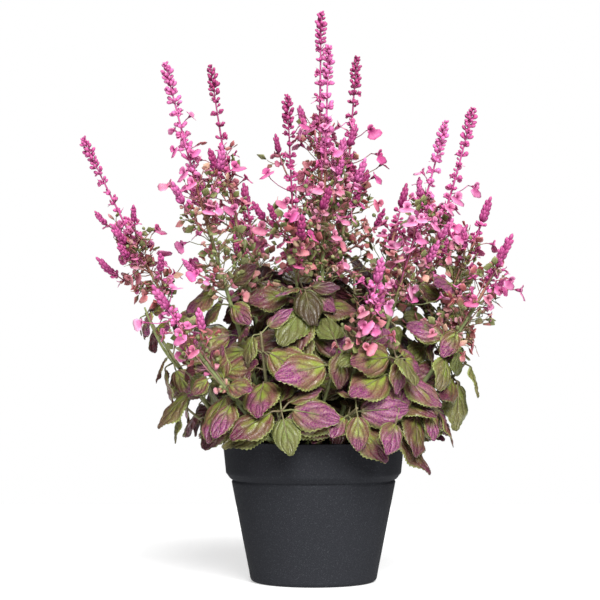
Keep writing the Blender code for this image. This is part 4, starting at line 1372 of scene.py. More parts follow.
@dataclass
class Spray:
    """A flowering stem with its head: buds in whorls, two-lipped flowers, side spikes and green clusters.

    The pairs of radii are the solids' own, at the foot and the tip of a part. What a method adds goes
    into the sheaf of the moment: the upper one for the head, the lower one for the green stem.
    """

    stem: FlowerStem
    blooms: Blooms
    witness: Witness
    cutter: LeafCutter
    stem_radius: float = 0.0020
    head_radius: float = 0.0013
    tip_radius: float = 0.0004
    thread_radius: float = 0.0005
    head_radii: Numbers = (0.0013, 0.0008)
    stem_radii: Numbers = (0.0021, 0.0013)
    branch_radii: Numbers = (0.0008, 0.0005)
    seat_gap: float = 0.0003
    calyx_nodes: Pair = (0.030, 0.012)
    spike_length: float = 0.021
    strand_count: int = 3
    spike_gap: Numbers = (0.0055, 0.0085)
    whorl_gap: Numbers = (0.0078, 0.0100)
    loose_gap: Numbers = (0.0062, 0.0080)
    green_gap: Numbers = (0.0060, 0.0080)
    spike_age: float = 0.10
    cluster_age: float = 0.13
    cluster_span: float = 0.062
    cluster_floor: float = 0.216
    short_floor: float = 0.17
    leaf_ceiling: float = 0.232
    leaf_gap: float = 0.0125
    leaf_sizes: Numbers = (0.78, 0.6, 0.45)
    green: Colour = srgb(128, 138, 90)
    olive: Colour = srgb(118, 124, 70)
    moss: Colour = srgb(88, 92, 48)
    pale: Colour = srgb(160, 162, 112)
    rust: Colour = srgb(140, 70, 70)
    rose: Colour = srgb(168, 116, 100)
    salmon: Colour = srgb(222, 138, 150)
    cream: Colour = srgb(206, 172, 146)
    brown: Colour = srgb(176, 98, 92)
    deep: Colour = srgb(112, 14, 72)
    hot: Colour = srgb(234, 96, 172)

    def __post_init__(self) -> None:
        """Works out the stem's line and the solids' sockets."""
        plan, name = self.stem.plan, self.stem.name
        self.line = self.stem.line()
        self.cut = self.line.length - plan.length
        self.turn = random.Random(f"head {name}").uniform(0.0, 90.0)
        upper, lower = taper(*self.head_radii, plan.length), taper(*self.stem_radii, self.cut)
        sockets = tuple(self.line.length - below for below in (*plan.sockets[::-1], *plan.whorls[::-1]))
        self.head = Axis(self.line, lambda distance: upper(distance - self.cut), sockets, self.turn)
        nodes = tuple(self.cut - below for below in self.calyx_nodes)
        self.stalk = Axis(self.line, lower, nodes, self.turn)
        self.draw = seeded(f"spray {name}", 37)
        self.pick = self.draw.uniform
        self.bud, self.petal, self.lip = self.stem.tone.value
        self.lush = 1.0 if self.stem.tone is Tone.BRIGHT else 0.0
        self.upper, self.lower = Sheaf(), Sheaf()
        self.sheaf = self.upper
        self.foliage = Foliage(self.cutter, self.cutter, self.draw)

    def fill(self, room: Room) -> None:
        """Adds pairs of small leaves up the green stem, each pair turned a quarter from the last.

        Args:
            room: What is placed already.
        """
        for row, stop in enumerate(np.arange(0.024, self.cut - 0.004, self.leaf_gap)):
            for side in (0.0, 180.0):
                if self.line.at(stop)[2] < self.leaf_ceiling:
                    degrees, young = 90.0 * row + side, row % 4 == 3
                    self.foliage.grow(room, self.line, stop, degrees, self.leaf_sizes, young)

    # The solids' parts, found again.

    def flowers_held(self) -> Iterator[tuple[Seat, float]]:
        """Finds the solids' open flowers.

        The choices are the source's own, in its order, and the one that the solids hold is known by the
        corner of its lower lip.

        Yields:
            Their seats and sizes.
        """
        plan, name = self.stem.plan, self.stem.name
        for count, index in enumerate(plan.flowers):
            number = len(plan.sockets) - 1 - index
            sides = [(index + 2 * count + k) % 4 for k in (0, 2, 1, 3)]
            chance = random.Random(f"flower {name} {count} {number}")
            size, rise = chance.uniform(0.88, 1.1), chance.uniform(0.35, 0.8)
            up, foot = self.head.up(number), self.head.foot(number)
            for turn, side in product((0, 25, -25, 50, -50), sides):
                lead = unit(self.head.out(number, side, turn) + rise * up)
                facing = on_plane(up, lead)
                along = unit(lead - 0.35 * facing)
                normal = on_plane(facing, along)
                width, length = 0.0105 * size, 0.0090 * size
                base = foot + lead * 0.0115 * size - facing * 0.4 * 0.0011
                corner = base + np.cross(normal, along) * -0.5 * width + along * 0.5 * length
                if self.witness.holds(f"flower_head_{name}", corner + normal * 0.24 * width):
                    yield Seat(foot, lead, plan.sockets[index]), size
                    break

    def branches_held(self) -> Iterator[Line]:
        """Finds the solids' side branches by the tips of their spikes.

        Yields:
            Their lines.
        """
        for index, reach in self.stem.plan.branches:
            number = len(self.stem.plan.sockets) - 1 - index
            foot, up = self.head.foot(number), self.head.up(number)
            sides = (index % 2, index % 2 + 2)
            for turn, side in product((0, 30, -30, 55, -55), sides):
                out = self.head.out(number, side, turn)
                tip = foot + reach * unit(0.80 * up + 0.60 * out) + 0.06 * reach * UP
                if self.witness.holds(f"flower_head_{self.stem.name}", tip):
                    bend = foot + reach * (0.42 * out + 0.26 * up)
                    yield self.head.child(number, side, tip, bend, taper(*self.branch_radii, reach)).line
                    break

    def calyces_held(self) -> Iterator[tuple[Seat, float]]:
        """Finds the calyces on the solids' green stem by their tips.

        Yields:
            Their seats and sizes.
        """
        name = self.stem.name
        for number, half in product((0, 1), (0, 2)):
            side = number % 2 + half
            chance = random.Random(f"calyx {name} {number} {side}")
            rise, size = chance.uniform(0.3, 0.9), chance.uniform(0.85, 1.15)
            up, foot = self.stalk.up(number), self.stalk.foot(number)
            for turn in (0, 30, -30):
                lead = unit(self.stalk.out(number, side, turn) + rise * up)
                if self.witness.holds(f"flower_stem_{name}", foot + 0.0090 * size * lead):
                    yield Seat(foot, lead, self.line.length - self.stalk.sockets[number]), size
                    break

    # Colours down the spray.

    def age(self, below: float | Vec, haste: float = 1.5) -> Vec:
        """How far below the tip of a tall spray the same colours are; a short spray ages faster."""
        return np.asarray(below, float) * (haste if self.stem.plan is SHORT else 1.0)

    def axis_tint(self, below: float | Vec) -> Vec:
        """The stem's colour: pink, then rose, then grey-green.

        Args:
            below: How far below the tip.

        Returns:
            The colour there.
        """
        age = self.age(below, 2.2)
        tint = blend(blend(self.bud, self.petal, 0.45), self.rose, smooth(0.070, 0.100, age))
        green = smooth(0.105, 0.150, age)[..., None]
        return tint * (1.0 - green) + np.array(self.green) * green

    def bud_tint(self, below: float) -> tuple[Vec, Vec]:
        """The colours of a bud, with some chance in them.

        Args:
            below: How far below the tip of the spray it is.

        Returns:
            The colours of its foot and its tip.
        """
        faded = float(smooth(0.078, 0.130, self.age(below + self.pick(-0.02, 0.02))))
        low = blend(blend(self.bud, self.deep, 0.35), self.rust, faded)
        high = blend(self.petal, blend(self.olive, self.salmon, self.pick(0.0, 0.6)), faded)
        return low * self.pick(0.85, 1.20), high * self.pick(0.92, 1.20)

    def leaflet_tint(self) -> tuple[Vec, Vec]:
        """The colours of a small green leaf: mostly olive, some rust or rose.

        Returns:
            The colours of its foot and its rim.
        """
        pick = self.pick
        low, high = blend(self.moss, self.olive, pick()), blend(self.olive, self.pale, pick(0.0, 0.9))
        chance = pick()
        if chance < 0.20:
            low, high = blend(self.rust, self.brown, pick()), blend(self.brown, self.salmon, pick())
        elif chance < 0.42:
            high = blend(self.rust, self.salmon, pick())
        elif chance < 0.50:
            low, high = blend(self.cream, self.salmon, pick()), np.array(self.cream)
        return low * pick(0.80, 1.10), high * pick(0.92, 1.18)

    # Parts.

    def bulb(self, seat: Seat, size: float) -> None:
        """Sets a bud down with the colours of its height."""
        self.sheaf.set_down(self.blooms.club, seat.foot, seat.lead, UP, size, *self.bud_tint(seat.below))

    def thread(self, seat: Seat, reach: float, tint: Vec, rise: float = 0.2, thin: float = 1.0) -> Vec:
        """Adds a thin stalk: foot + reach (t lead + rise t^2 up).

        Args:
            seat: Where it starts, and the way that it leaves.
            reach: Its length.
            tint: Its colour.
            rise: How far it turns up.
            thin: Its radius against the usual one.

        Returns:
            Its end.
        """
        t = np.linspace(0.0, 1.0, 4)[:, None]
        path = seat.foot + seat.lead * reach * t + UP * rise * reach * t**2
        radius = self.thread_radius * thin
        self.sheaf.tube(path, np.linspace(radius, 0.75 * radius, 4), tint, 3)
        return path[-1]

    def flower(self, seat: Seat, roll: float, size: float) -> None:
        """Adds an open flower: a stalk, a calyx, a broad notched lip that hangs, a hood and two side lobes.

        Args:
            seat: Where it grows.
            roll: How far it is turned about its lead, in degrees.
            size: Its size.
        """
        pick, blooms, put = self.pick, self.blooms, self.sheaf.set_down
        foot, lead, below = seat.foot, seat.lead, seat.below
        faded = float(smooth(0.09, 0.17, self.age(below + pick(-0.05, 0.04))))
        calyx = blend(blend(self.bud, self.deep, 0.3), self.rust, 0.2 + 0.8 * faded) * pick(0.8, 1.1)
        throat = blend(blend(self.bud, self.hot, pick(0.0, 0.5)), self.brown, faded * 0.8)
        rim = blend(blend(self.hot, self.lip, pick(0.2, 1.1)), self.salmon, faded * pick(0.3, 1.0))
        rim = blend(rim, self.cream, faded * pick(0.0, 0.7))
        throat, rim = throat * pick(0.78, 1.05), rim * pick(0.92, 1.08)
        level, turn = on_plane(UP, lead), math.radians(roll)
        right = np.cross(level, lead)
        above = level * math.cos(turn) + right * math.sin(turn)
        side = right * math.cos(turn) - level * math.sin(turn)
        stalk = np.array([foot + lead * size * t for t in (0.0, 0.0018, 0.0036)])
        tints = blend(self.axis_tint(below), calyx, np.linspace(0.0, 1.0, 3))
        self.sheaf.tube(stalk, np.array((0.0005, 0.00045, 0.0005)), tints, 3)
        put(blooms.cup, foot + lead * 0.0030 * size, lead, above, size, calyx, calyx * 1.2)
        mouth = foot + lead * 0.0064 * size
        down = unit(lead * pick(0.5, 0.9) - above * pick(0.5, 0.9))
        put(blooms.lip, mouth, down, lead + above, size * 1.15, throat, rim)
        hood = unit(lead * pick(0.4, 0.8) + above * 0.8)
        put(blooms.hood, mouth, hood, above - lead, size * 0.82, throat * 0.92, rim * 0.96)
        for way in (-1.0, 1.0):
            lobe = unit(lead * pick(0.4, 0.9) + way * side * 0.8 + above * pick(-0.2, 0.3))
            put(blooms.lobe, mouth, lobe, lead - way * 0.5 * side, size * 0.7, throat * 0.88, rim)

    def stalked_flower(self, seat: Seat, reach: Numbers, sizes: Numbers, tint: Vec) -> None:
        """Adds an open flower on a thread.

        Args:
            seat: Where the thread starts, and the way that it leaves and the flower looks.
            reach: The least and the greatest length of the thread.
            sizes: The least and the greatest size of the flower.
            tint: The thread's colour.
        """
        end = self.thread(seat, self.pick(*reach), tint)
        self.flower(Seat(end, seat.lead, seat.below), self.pick(-60.0, 60.0), self.pick(*sizes))

    def half_open(self, seat: Seat, size: float) -> None:
        """Adds a small flower that is half open: a calyx and two petals, one over the other.

        Args:
            seat: Where it grows.
            size: Its size.
        """
        lead, (calyx, high) = seat.lead, self.bud_tint(seat.below)
        rim = blend(high, self.lip, self.pick(0.1, 0.6))
        above = on_plane(UP + 0.8 * self.draw.normal(size=3), lead)
        self.sheaf.set_down(self.blooms.cup, seat.foot, lead, above, size, calyx, high * 0.9)
        mouth = seat.foot + lead * 0.0030 * size
        for way, scale in ((1.0, 0.8), (-1.0, 1.0)):
            petal, facing = unit(lead + way * above * self.pick(0.35, 0.75)), way * above - 0.3 * lead
            self.sheaf.set_down(self.blooms.petal, mouth, petal, facing, size * scale, high, rim)

    def bud_or_bloom(self, seat: Seat, share: float, open_sizes: Pair, bud_sizes: Pair) -> None:
        """Adds a half-open flower, or else a bud.

        Args:
            seat: Where it grows.
            share: How often it is a flower.
            open_sizes: The least and the greatest size of a flower.
            bud_sizes: Those of a bud.
        """
        if self.pick() < share:
            self.half_open(seat, self.pick(*open_sizes))
        else:
            self.bulb(seat, self.pick(*bud_sizes))

    def cyme(self, seat: Seat, up: Vec, reach: float) -> None:
        """Adds a green cluster: a stalk that forks to small leaves, round buds and now and then a petal.

        Args:
            seat: Where it grows.
            up: The way that the stem grows.
            reach: The length of its stalk.
        """
        pick, put, below = self.pick, self.sheaf.set_down, seat.below
        tint = blend(self.axis_tint(below), self.rust, pick(0.0, 0.6))
        lead = unit(seat.lead + pick(0.1, 0.9) * up)
        end = self.thread(Seat(seat.foot, lead, below), reach, tint, pick(-0.15, 0.4))
        for k in range(int(self.draw.integers(2, 4))):
            spin = unit(self.draw.normal(size=3))
            way = unit(lead * 0.8 + spin + 0.35 * UP)
            start = seat.foot + (end - seat.foot) * (1.0 if k == 0 else pick(0.3, 1.0))
            tip = self.thread(Seat(start, way, below), reach * pick(0.1, 0.35), tint, 0.1, 0.72)
            chance = pick()
            if chance < 0.60:
                tints, size = self.leaflet_tint(), pick(0.75, 1.5)
                put(self.blooms.leaflet, tip, way, UP + 1.2 * spin, size, *tints)
            elif chance < 0.84:
                low, high = blend(self.olive, self.green, pick()), blend(self.green, self.pale, pick())
                put(self.blooms.ball, tip - way * 0.0004, way, UP, pick(0.8, 1.3), low, high)
            else:
                self.half_open(Seat(tip, way, below), pick(0.6, 0.95))

    def ear(self, line: Line, size: float) -> None:
        """Adds an ear of long oval buds at a line's tip: rows of five, set between one another.

        Args:
            line: The line that it ends.
            size: Its size.
        """
        pick, rows, bud = self.pick, 4, 0.0072 * size
        for row in range(rows + 1):
            share = row / rows
            stop = line.length - bud - (self.spike_length * size - bud) * (1.0 - share)
            for k in range(5 if row < rows else 1):
                degrees = 72.0 * k + 36.0 * row + pick(-12.0, 12.0)
                lean = (0.50 - 0.16 * share) * pick(0.75, 1.25) if row < rows else 0.0
                foot, lead, up = line.at(stop), line.leaning(stop, degrees, lean), line.tangent(stop)
                scale = 0.92 * size * (1.0 - 0.10 * share) * pick(0.85, 1.1)
                # Each bud runs from a deep foot to a paler tip, and the upper rows are paler. This is partly the
                # buds' own two tones, and the pale tips are partly a painted highlight.
                low = blend(self.deep, self.bud, pick(0.0, 0.2) + 0.3 * share)
                high = blend(blend(self.deep, self.bud, 0.75), self.petal, pick(0.0, 0.5) + 0.7 * share)
                self.sheaf.set_down(self.blooms.fat, foot, lead, up, scale, low, high)

    def side_spike(self, line: Line, size: float) -> None:
        """Adds a side branch with its ear of buds, and small buds, flowers and clusters below it.

        Args:
            line: The branch's line.
            size: The size of its ear.
        """
        pick, path = self.pick, line.path(np.linspace(0.0, line.length - 0.003, 12))
        tints = blend(self.axis_tint(0.118), blend(self.bud, self.deep, 0.3), np.linspace(0.0, 1.0, 12))
        self.sheaf.tube(path, np.linspace(0.00075, 0.00045, 12), tints, 5)
        self.ear(line, size)
        stop, row = line.length - self.spike_length * size - 0.003, 0
        while stop > 0.008:
            spin, foot, up = 90.0 * row + pick(0.0, 40.0), line.at(stop), line.tangent(stop)
            for k in range(int(self.draw.integers(2, 5))):
                out = line.radial(stop, spin + 180.0 * (k % 2) + 35.0 * (k // 2))
                seat = Seat(foot, unit(out + pick(0.3, 1.0) * up), self.spike_age)
                if stop < 0.5 * line.length and k < 2:
                    self.cyme(Seat(foot, out, self.cluster_age), up, pick(0.004, 0.012))
                else:
                    self.bud_or_bloom(seat, 0.4, (0.7, 1.0), (0.8, 1.1))
            stop, row = stop - pick(*self.spike_gap), row + 1

    # The spray from its tip down.

    def dense_tip(self) -> None:
        """The tip: an ear on a short spray, else rings of four buds, the lower the larger."""
        pick, line = self.pick, self.line
        if self.stem.plan is SHORT:
            self.ear(line, 1.12)
            return
        below, row = 0.0022, 0
        self.bulb(Seat(line.at(line.length - 0.0030), line.tangent(line.length), 0.0), 0.62)
        while below < self.stem.plan.dense + 0.001:
            share = float(smooth(0.0, 0.012, below))
            for k in range(4):
                stop = line.length - below - 0.001 + pick(-0.0009, 0.0009)
                degrees = 90.0 * k + 45.0 * row + pick(-16.0, 16.0)
                lean = (0.70 + 0.50 * share) * pick(0.65, 1.25)
                seat = Seat(line.at(stop), line.leaning(stop, degrees, lean), below)
                self.bulb(seat, (0.70 + 0.46 * share) * pick(0.82, 1.18))
            below += 0.0023 + 0.0008 * share
            row += 1

    def whorls(self) -> None:
        """The whorls under the tip: two clusters of clubs each, small half-open flowers, and thin bracts."""
        pick, line, plan = self.pick, self.line, self.stem.plan
        below, row = plan.dense + 0.0042, 0
        while below < plan.sockets[0] - 0.002:
            up, spin = line.tangent(line.length - below), 90.0 * row + pick(-15.0, 30.0)
            ripe = float(smooth(0.04, 0.10, self.age(below)))
            for k in range(int(self.draw.integers(5, 8) + round(2 * self.lush))):
                stop = line.length - below + pick(-0.0012, 0.0012)
                degrees = spin + 180.0 * (k % 2) + pick(-42.0, 42.0)
                lead = unit(line.radial(stop, degrees) + pick(0.15, 1.15) * up)
                seat, size = Seat(line.at(stop), lead, below), pick(0.9, 1.2) * (1.0 + 0.18 * self.lush)
                if pick() < 0.16 + 0.34 * ripe:
                    self.half_open(seat, pick(0.6, 0.8) + 0.3 * ripe)
                else:
                    self.bulb(seat, size)
            foot = line.at(stop)
            for _ in range(4):
                lead = unit(line.radial(stop, pick(0.0, 360.0)) + pick(0.6, 1.8) * up)
                low, high = self.bud_tint(below)
                self.upper.set_down(self.blooms.sliver, foot, lead, UP, pick(0.9, 1.6), low, high)
            if self.lush and below > 0.046 and pick() < 0.75:
                lead = unit(line.radial(stop, pick(0.0, 360.0)) + pick(0.2, 1.0) * up)
                self.stalked_flower(Seat(foot, lead, below), (0.001, 0.006), (0.6, 0.85), low)
            if pick() < 0.5:
                stop = line.length - below - 0.0042
                lead = unit(line.radial(stop, pick(0.0, 360.0)) + pick(0.4, 1.2) * up)
                self.bulb(Seat(line.at(stop), lead, below), pick(0.7, 0.95))
            below += pick(*self.whorl_gap)
            row += 1

    def strands(self) -> None:
        """Thin stalks that climb beside the stem where the head is loose: its line, set off to a side."""
        pick, line = self.pick, self.line
        t = np.linspace(0.0, 1.0, 9)
        for _ in range(self.strand_count):
            first, span = pick(0.45, 0.9) * self.stem.plan.length, pick(0.03, 0.06)
            stops = line.length - np.linspace(first + span, first, 9)
            degrees, drift = pick(0.0, 360.0), pick(-60.0, 60.0)
            places = zip(stops, 0.0015 + 0.0022 * t**2, degrees + drift * t)
            path = np.array([line.at(stop) + off * line.radial(stop, angle) for stop, off, angle in places])
            tint = self.axis_tint(first)
            tints = blend(tint, blend(tint, self.petal, 0.3), t)
            self.upper.tube(path, np.full(9, 0.9 * self.thread_radius), tints, 4)
            seat = Seat(path[-1], line.radial(stops[-1], degrees + drift), first)
            self.cyme(seat, line.tangent(stops[-1]), 0.006)

    def loose_part(self) -> None:
        """Below the whorls: the solids' flowers, more flowers between them, green clusters and branches."""
        pick, line, plan = self.pick, self.line, self.stem.plan
        for seat, size in self.flowers_held():
            self.flower(seat, pick(-25.0, 25.0), size)
        first = plan.sockets[0] - 0.012
        below, row = first, 0
        while below < plan.length - 0.001:
            stop, share = line.length - below, (below - first) / (plan.length - first)
            up, foot, spin = line.tangent(stop), line.at(stop), 90.0 * row + pick(0.0, 40.0)
            flowers = int(self.draw.integers(1, 3) if 0.3 < share < 0.9 else self.draw.integers(0, 2))
            kinds = [0] * flowers + [1] * round(0.2 + 2.5 * share) + [2] * int(2.4 + self.lush - 3 * share)
            for k, kind in enumerate(kinds):
                out = line.radial(stop, spin + 360.0 * k / len(kinds) + pick(-30.0, 30.0))
                seat = Seat(foot, unit(out + pick(0.2, 1.1) * up), below)
                if kind == 0:
                    self.stalked_flower(seat, (0.002, 0.012), (0.68, 1.08), self.axis_tint(below))
                elif kind == 1:
                    self.cyme(Seat(foot, out, below), up, pick(0.006, 0.016))
                else:
                    self.bud_or_bloom(seat, 0.3, (0.7, 1.0), (0.85, 1.2))
            below += pick(*self.loose_gap)
            row += 1
        for branch in self.branches_held():
            self.side_spike(branch, 1.0)

    def twigs(self) -> None:
        """The lesser side branches, each from the nearest point of the stem below its tip."""
        spots = self.line.path(np.linspace(0.3 * self.line.length, self.line.length, 40))
        for place in self.stem.twigs:
            tip = metres(place)
            foot = spots[np.argmin(np.linalg.norm(spots - tip + 0.036 * UP, axis=1))]
            self.side_spike(Line(foot, elbow(foot, tip, 0.7, 0.3), tip, 16), self.pick(0.72, 0.88))

    def far_flowers(self) -> None:
        """The flowers that stand off from the stem on long thin stalks, each from a lower point of it."""
        pick, stops = self.pick, np.linspace(0.2, 0.98, 50) * self.line.length
        spots = self.line.path(stops)
        for x, z in map(metres, self.stem.blossoms):
            index = np.argmin(np.hypot(spots[:, 0] - x, spots[:, 2] - z + 0.008))
            foot, below = spots[index], self.line.length - stops[index]
            self.sheaf = self.upper if stops[index] > self.cut else self.lower
            end = np.array((x, foot[1] - pick(0.002, 0.016), z))
            reach = float(np.linalg.norm(end - foot))
            way = (end - foot) / reach - 0.35 * UP
            self.thread(Seat(foot, way, below), reach, self.axis_tint(below), 0.35)
            lead = unit(unit(way) + 0.25 * UP + 0.35 * self.draw.normal(size=3))
            self.flower(Seat(end, lead, min(below, 0.12)), pick(-70.0, 70.0), pick(0.8, 1.1))

    def green_part(self) -> None:
        """The green stem's clusters: the solids' calyces first, then more down to the leaves."""
        pick, line, self.sheaf = self.pick, self.line, self.lower
        for seat, size in self.calyces_held():
            foot, lead, tints = seat.foot, seat.lead, self.bud_tint(seat.below)
            self.lower.set_down(self.blooms.cup, foot + lead * 0.003, lead, UP, size * 1.3, *tints)
            self.cyme(Seat(foot, unit(lead + 0.2 * self.draw.normal(size=3)), seat.below), UP, 0.008)
        floor = self.cluster_floor if self.stem.plan is TALL else self.short_floor
        below, row = self.stem.plan.length + 0.004, 0
        while line.at(line.length - below)[2] > floor and below < self.stem.plan.length + self.cluster_span:
            stop, foot = line.length - below, line.at(line.length - below)
            for k in range(5):
                out = line.radial(stop, 72.0 * k + 40.0 * row + pick(-36.0, 36.0))
                if k in (row % 5, (row + 2) % 5) and pick() < 0.6:
                    seat = Seat(foot, unit(out + pick(0.0, 0.8) * UP), 0.16)
                    self.stalked_flower(seat, (0.003, 0.022), (0.7, 1.0), self.axis_tint(below))
                else:
                    self.cyme(Seat(foot, out, below), line.tangent(stop), pick(0.006, 0.024))
            below += pick(*self.green_gap)
            row += 1

    def stem_tubes(self) -> None:
        """The square stem, in a green part and a coloured part that stand end to end."""
        line, top, seat = self.line, self.line.length - 0.002, 0.5 * self.seat_gap
        marks, sizes = (-ROOT_DEPTH, self.cut, top), (self.stem_radius, self.head_radius, self.tip_radius)
        across = line.radial(self.cut, self.turn)
        halves = ((self.lower, -ROOT_DEPTH, self.cut - seat, 34), (self.upper, self.cut + seat, top, 30))
        for sheaf, first, last, rows in halves:
            stops = np.linspace(first, last, rows)
            tints, radii = self.axis_tint(line.length - stops), np.interp(stops, marks, sizes)
            sheaf.tube(line.path(stops), radii, tints, STEM_SIDES, STEM_SQUARE, across)

    def build(self, leaf_finish: bpy.types.Material, finish: bpy.types.Material) -> None:
        """Makes the pieces of the spray.

        Args:
            leaf_finish: The material of the blades.
            finish: The material of stems, buds and petals.
        """
        self.stem_tubes()
        self.dense_tip()
        self.whorls()
        self.strands()
        self.loose_part()
        self.twigs()
        self.far_flowers()
        self.green_part()
        name = self.stem.name
        if self.foliage.added:
            piece = self.foliage.build(f"leaves_{name}", leaf_finish, self.lower)
            hand_over(piece, "leaves", f"flower_stem_{name}")
        hand_over(self.upper.to_object(f"spray_{name}", finish), "flowers", f"flower_head_{name}")
        hand_over(self.lower.to_object(f"spray_stem_{name}", finish), "stems", f"flower_stem_{name}")


# Leafy stems.


@dataclass(frozen=True)
class LeafyStem:
    """One leafy stem: its root, the tips of its main, lower and upper shoot, and their leaves' sizes.

    Places are in millimetres. The spurs are tips of lesser shoots, and the spacing is that of the lesser
    leaves.
    """

    name: str
    root: Numbers
    main: Numbers
    lower: Numbers
    upper: Numbers
    sizes: Numbers = (1.0, 1.0, 1.0)
    spurs: tuple[Numbers, ...] = ()
    spacing: float = 0.0145


LEAFY_STEMS = (
    LeafyStem("front_left", (-28, -40), (-40, -62, 194), (-24, -84, 136), (-74, -52, 160)),
    LeafyStem("front", (4, -48), (-8, -44, 226), (32, -88, 138), (18, -74, 184)),
    LeafyStem("front_right", (36, -36), (62, -64, 176), (62, -78, 130), (90, -44, 138)),
    LeafyStem("right", (48, 16), (98, 24, 210), (90, 46, 140), (118, -4, 170), spacing=0.024),
    LeafyStem("back_right", (34, 36), (32, 26, 238), (56, 88, 138), (68, 74, 188)),
    LeafyStem("back", (-6, 50), (4, 52, 262), (-30, 94, 138), (4, 94, 180)),
    LeafyStem("back_left", (-36, 34), (-48, 32, 222), (-88, 50, 140), (-70, 74, 184)),
    LeafyStem(
        "left", (-48, -6), (-130, -4, 208), (-100, -26, 138), (-94, -50, 162),
        (0.60, 0.85, 0.85), ((-128, -45, 212), (-112, -66, 186)), 0.060,
    ),
)


